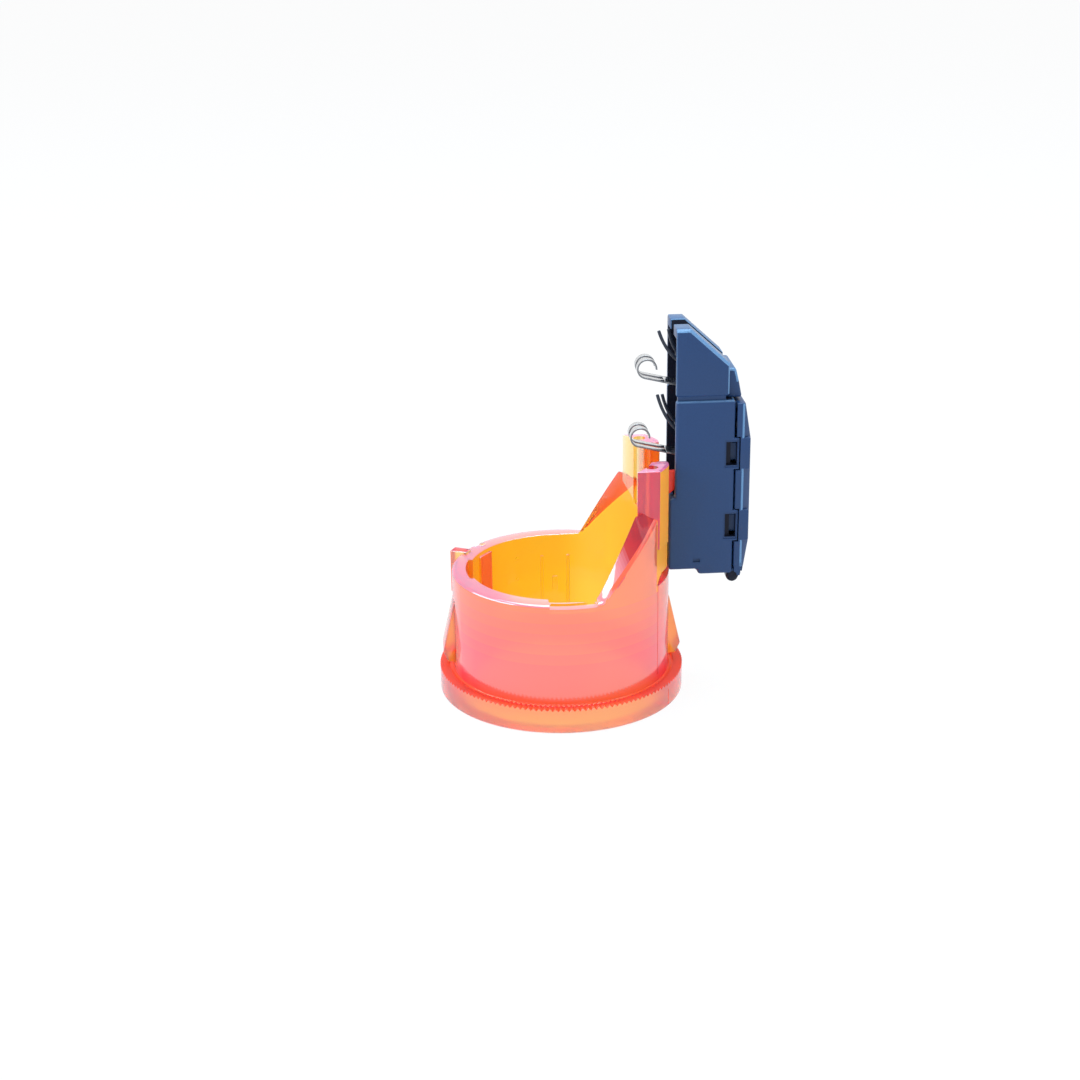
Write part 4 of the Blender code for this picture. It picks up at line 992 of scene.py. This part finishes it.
# Red, green and blue, then haze, shine and clearness
# Bore and outside are the plastic's own tints. The other looks paint light and shade into it.
LOOKS = {
    "bore": (1.0, 1.0, 0.2, 0.0, 0.08, 1.0),
    "outside": (1.0, 0.95, 0.8, 1.0, 0.85, 1.0),
    # foot and wall: the outer wall facing -Y, painted a deeper red that is darker and pinker towards the
    # foot
    "foot": (1.0, 0.07, 0.09, 1.0, 0.85, 0.55),
    "wall": (1.0, 0.22, 0.015, 1.0, 0.85, 0.55),
    # flange and rim: painted pink reflections
    "flange": (1.0, 0.6, 0.8, 1.0, 0.85, 1.0),
    "rim": (1.0, 0.4, 0.85, 0.8, 1.0, 0.85),
    # tongue: the snap tongues' front faces, painted a deeper orange
    "tongue": (1.0, 0.75, 0.6, 1.0, 0.6, 1.0),
    # tooth, flank, trough and slot: painted dark red shade on the flanks, in the trough and in the slot,
    # lighter on the tooth tops
    "tooth": (1.0, 0.27, 0.09, 1.0, 0.5, 0.6),
    "flank": (0.95, 0.1, 0.04, 1.0, 0.2, 0.6),
    "trough": (1.0, 0.09, 0.01, 1.0, 0.2, 0.3),
    "slot": (0.9, 0.06, 0.03, 1.0, 0.3, 0.4),
    # hook and rib: painted deep red that stands for light through thick plastic
    "hook": (1.0, 0.07, 0.02, 1.0, 0.12, 0.2),
    "rib": (1.0, 0.16, 0.04, 0.5, 0.2, 0.5),
    # post_side: painted paler light; post_front: painted mauve shade; post_top: painted pink reflection;
    # post_back: painted orange light
    "post_side": (1.0, 0.95, 0.6, 0.3, 0.6, 0.8),
    "post_front": (0.85, 0.08, 0.15, 1.0, 0.35, 0.7),
    "post_top": (1.0, 0.35, 0.65, 1.0, 0.8, 0.6),
    "post_back": (1.0, 0.47, 0.02, 1.0, 0.05, 0.3),
    # near_ramp, ramp_edge and far_ramp: painted dark red shade and red on the ramps
    "near_ramp": (0.5, 0.02, 0.02, 0.6, 0.12, 0.5),
    "ramp_edge": (1.0, 0.12, 0.04, 0.6, 0.3, 0.5),
    "far_ramp": (1.0, 0.05, 0.12, 1.0, 0.3, 0.9),
}


def grained(name, colour, roughness, size, depth, stretch=(1, 1, 1), **plain):
    """A Principled material with fine unevenness in height, gloss and shade; sizes in millimetres."""
    material = bpy.data.materials.new(name)
    material.use_nodes = True
    nodes, links = material.node_tree.nodes, material.node_tree.links
    shader = nodes["Principled BSDF"]
    for socket, value in plain.items():
        shader.inputs[socket.replace("_", " ")].default_value = value
    place = nodes.new("ShaderNodeTexCoord")
    drawn = nodes.new("ShaderNodeMapping")
    drawn.inputs["Scale"].default_value = stretch
    links.new(place.outputs["Object"], drawn.inputs["Vector"])
    grain = nodes.new("ShaderNodeTexNoise")
    grain.inputs["Scale"].default_value = 1 / (size * MM)
    grain.inputs["Detail"].default_value = 3.0
    links.new(drawn.outputs["Vector"], grain.inputs["Vector"])
    bump = nodes.new("ShaderNodeBump")
    bump.inputs["Distance"].default_value = depth * MM
    links.new(grain.outputs["Fac"], bump.inputs["Height"])
    links.new(bump.outputs["Normal"], shader.inputs["Normal"])
    gloss = nodes.new("ShaderNodeMapRange")
    gloss.inputs["To Min"].default_value = roughness * 0.8
    gloss.inputs["To Max"].default_value = roughness * 1.2
    links.new(grain.outputs["Fac"], gloss.inputs["Value"])
    links.new(gloss.outputs["Result"], shader.inputs["Roughness"])
    shade = nodes.new("ShaderNodeMix")
    shade.data_type = "RGBA"
    shade.inputs["A"].default_value = (*(0.88 * part for part in colour), 1.0)
    shade.inputs["B"].default_value = (*(min(1.0, 1.12 * part) for part in colour), 1.0)
    links.new(grain.outputs["Fac"], shade.inputs["Factor"])
    links.new(shade.outputs["Result"], shader.inputs["Base Color"])
    return material


def amber_plastic():
    """Clear moulded plastic: a blurred view through its outside, a hard shine and a thin pink haze."""
    material = grained(
        "amber_plastic",
        LOOKS["bore"][:3],
        roughness=0.2,
        size=6.0,
        depth=0.02,
        IOR=1.15,
        Coat_Roughness=0.06,
        Coat_IOR=2.5,
        Sheen_Weight=0.05,
        Sheen_Roughness=1.0,
        Sheen_Tint=(1.0, 0.3, 1.0, 1.0),
    )
    nodes, links = material.node_tree.nodes, material.node_tree.links
    shader = nodes["Principled BSDF"]
    read = {name: nodes.new("ShaderNodeAttribute") for name in ("tint", "haze", "shine", "clear")}
    for name, node in read.items():
        node.attribute_name = name
    blur = nodes.new("ShaderNodeMapRange")
    blur.inputs["To Min"].default_value = 0.12
    blur.inputs["To Max"].default_value = 0.42
    links.new(read["haze"].outputs["Fac"], blur.inputs["Value"])
    links.new(blur.outputs["Result"], shader.inputs["Roughness"])
    links.new(read["shine"].outputs["Fac"], shader.inputs["Coat Weight"])
    links.new(read["clear"].outputs["Fac"], shader.inputs["Transmission Weight"])
    # Each face's tint, which paints light and shade, becomes the base colour.
    links.new(read["tint"].outputs["Color"], shader.inputs["Base Color"])
    volume = nodes.new("ShaderNodeVolumeAbsorption")
    volume.inputs["Color"].default_value = (0.998, 0.83, 0.05, 1.0)
    volume.inputs["Density"].default_value = 1500.0
    links.new(volume.outputs["Volume"], nodes["Material Output"].inputs["Volume"])
    return material


# Size and depth of the grain that a mould leaves
MOULDED = (0.25, 0.004)
AMBER = amber_plastic()
NAVY = grained("navy_plastic", (0.016, 0.046, 0.128), 0.34, *MOULDED, Specular_IOR_Level=0.3)
# A lighter copy of the navy: painted light on up-facing faces
NAVY_LIT_TOP = grained("navy_painted_top_light", (0.045, 0.105, 0.21), 0.32, *MOULDED, Specular_IOR_Level=0.3)
# A still lighter copy: painted highlights on chamfers and rounded edges
NAVY_HIGHLIGHT = grained("navy_painted_highlight", (0.11, 0.23, 0.4), 0.3, *MOULDED, Specular_IOR_Level=0.4)
FORK = grained("fork_plastic", (0.014, 0.02, 0.036), 0.4, *MOULDED)
# Near black: painted shade in recesses, latch windows and under the hinge
PAINTED_SHADE = grained("painted_shade_plastic", (0.006, 0.008, 0.02), 0.5, *MOULDED, Specular_IOR_Level=0.2)
STEEL = grained("steel_strip", (0.66, 0.67, 0.68), 0.2, 0.4, 0.002, (0.2, 3, 0.2), Metallic=1.0)
# Dark steel: painted shade along the springs' thin edges
EDGE_SHADE = grained("painted_edge_shade", (0.25, 0.26, 0.28), 0.4, 0.2, 0.003, Metallic=1.0)
BRASS = grained("brass", (0.6, 0.4, 0.14), 0.3, 0.3, 0.003, Metallic=1.0)
TIN = grained("tin", (0.55, 0.56, 0.58), 0.3, 0.3, 0.003, Metallic=1.0)
RESIN = grained("clear_resin", (0.85, 0.8, 0.68), 0.1, 0.8, 0.003)
BOARD = grained("board", (0.01, 0.06, 0.02), 0.4, 0.2, 0.004)
CHIP = grained("chip", (0.015, 0.015, 0.017), 0.5, 0.15, 0.004)
KEPT = {
    # The carrier deep in the module gets the near-black painted shade.
    "contact_carrier": PAINTED_SHADE,
    "hinge_pin": TIN,
    "upper_terminal": BRASS,
    "lower_terminal": BRASS,
    "upper_terminal_rivet": TIN,
    "lower_terminal_rivet": TIN,
    "lamp_body": RESIN,
    "lamp_board": BOARD,
    "lamp_resistor": CHIP,
    "near_lamp_lead": TIN,
    "far_lamp_lead": TIN,
    "near_lamp_link": TIN,
    "far_lamp_link": TIN,
}

light_ring(AMBER)
snap_tongue("left_snap_tongue", AMBER)
snap_tongue("right_snap_tongue", AMBER)
module_housing(NAVY)
terminal_cover(NAVY)
contact_spring("upper_contact_spring", pivot_of("upper_contact_flex"), 4.96, STEEL)
contact_spring("lower_contact_spring", pivot_of("lower_contact_flex"), 5.77, STEEL)
guide_fork("upper_guide_fork", pivot_of("upper_fork_flex"), ((-1, (3.3, 4.2)), (1, (1.5, 3.3))), FORK)
guide_fork("lower_guide_fork", pivot_of("lower_fork_flex"), ((-1, (3.4, 5.1)), (1, (2.2, 3.9))), FORK)
for name, material in KEPT.items():
    frame["nodes"][name].data.materials.clear()
    frame["nodes"][name].data.materials.append(material)

# Camera, at the photo's angle
CAMERA_AZIMUTH = radians(-4.19)
CAMERA_ELEVATION = radians(20.26)
CAMERA_ROLL = radians(-0.72)
CAMERA_PLACE = Vector((-19.27, -228.61, 104.14))
CAMERA_LENS = 64.83

# Floor, in metres
FLOOR_RADIUS = 1.5
FLOOR_DROP = 0.00005
FLOOR_GLOW = 0.93


def make_camera():
    camera = bpy.data.objects.new("camera", bpy.data.cameras.new("camera"))
    bpy.context.scene.collection.objects.link(camera)
    camera.data.lens = CAMERA_LENS
    camera.data.sensor_fit = "HORIZONTAL"
    camera.data.clip_start = 0.01
    flat = cos(CAMERA_ELEVATION)
    back = Vector((sin(CAMERA_AZIMUTH) * flat, -cos(CAMERA_AZIMUTH) * flat, sin(CAMERA_ELEVATION)))
    level = back.to_track_quat("Z", "Y")
    camera.rotation_mode = "QUATERNION"
    camera.rotation_quaternion = level @ Matrix.Rotation(CAMERA_ROLL, 3, "Z").to_quaternion()
    camera.location = TO_FRAME @ CAMERA_PLACE
    bpy.context.scene.camera = camera


def seen_white(tree, glow, lit):
    """A mix of two shaders: one to the eye, in mirrors and through glass, one to all other light."""
    nodes, links = tree.nodes, tree.links
    path = nodes.new("ShaderNodeLightPath")
    seen = path.outputs["Is Camera Ray"]
    for name in ("Is Glossy Ray", "Is Transmission Ray"):
        either = nodes.new("ShaderNodeMath")
        either.operation = "MAXIMUM"
        links.new(seen, either.inputs[0])
        links.new(path.outputs[name], either.inputs[1])
        seen = either.outputs[0]
    mix = nodes.new("ShaderNodeMixShader")
    links.new(seen, mix.inputs["Fac"])
    links.new(lit, mix.inputs[1])
    links.new(glow, mix.inputs[2])
    return mix.outputs[0]


def make_world():
    world = bpy.data.worlds.new("studio")
    bpy.context.scene.world = world
    world.use_nodes = True
    nodes, links = world.node_tree.nodes, world.node_tree.links
    room = nodes["Background"]
    room.inputs["Color"].default_value = (0.86, 0.93, 1.0, 1.0)
    room.inputs["Strength"].default_value = 0.6
    white = nodes.new("ShaderNodeBackground")
    white.inputs["Color"].default_value = (1.0, 1.0, 1.0, 1.0)
    mix = seen_white(world.node_tree, white.outputs[0], room.outputs[0])
    links.new(mix, nodes["World Output"].inputs["Surface"])


def make_floor():
    """A white floor that keeps a faint shadow."""
    bm = bmesh.new()
    bmesh.ops.create_circle(bm, cap_ends=True, radius=FLOOR_RADIUS, segments=96)
    floor = new_object("floor", bm)
    floor.location.z = -FLOOR_DROP
    material = grained("floor", (0.9, 0.9, 0.9), 0.8, 2.0, 0.01)
    nodes, links = material.node_tree.nodes, material.node_tree.links
    shader = nodes["Principled BSDF"]
    white = nodes.new("ShaderNodeEmission")
    white.inputs["Color"].default_value = (1.0, 1.0, 1.0, 1.0)
    glow = nodes.new("ShaderNodeMixShader")
    glow.inputs["Fac"].default_value = FLOOR_GLOW
    links.new(shader.outputs[0], glow.inputs[1])
    links.new(white.outputs[0], glow.inputs[2])
    mix = seen_white(material.node_tree, glow.outputs[0], shader.outputs[0])
    links.new(mix, nodes["Material Output"].inputs["Surface"])
    floor.data.materials.append(material)


def softbox(name, place, size, power, colour):
    """A large oblong lamp that faces the middle of the part."""
    data = bpy.data.lights.new(name, "AREA")
    data.shape = "RECTANGLE"
    data.size, data.size_y = size
    data.energy = power
    data.color = colour
    lamp = bpy.data.objects.new(name, data)
    bpy.context.scene.collection.objects.link(lamp)
    lamp.location = place
    towards = (cad_low + cad_high) / 2 - Vector(place)
    lamp.rotation_mode = "QUATERNION"
    lamp.rotation_quaternion = towards.to_track_quat("-Z", "Y")


make_camera()
make_world()
make_floor()
softbox("left_softbox", (-0.4, -0.06, 0.19), (0.42, 0.2), 1.35, (0.85, 0.92, 1.0))
softbox("right_softbox", (0.34, -0.2, 0.2), (0.2, 0.35), 0.35, (0.85, 0.92, 1.0))
softbox("top_softbox", (0.0, 0.05, 0.45), (0.4, 0.4), 3.2, (0.66, 0.85, 1.0))

bpy.context.scene.view_settings.view_transform = "Standard"
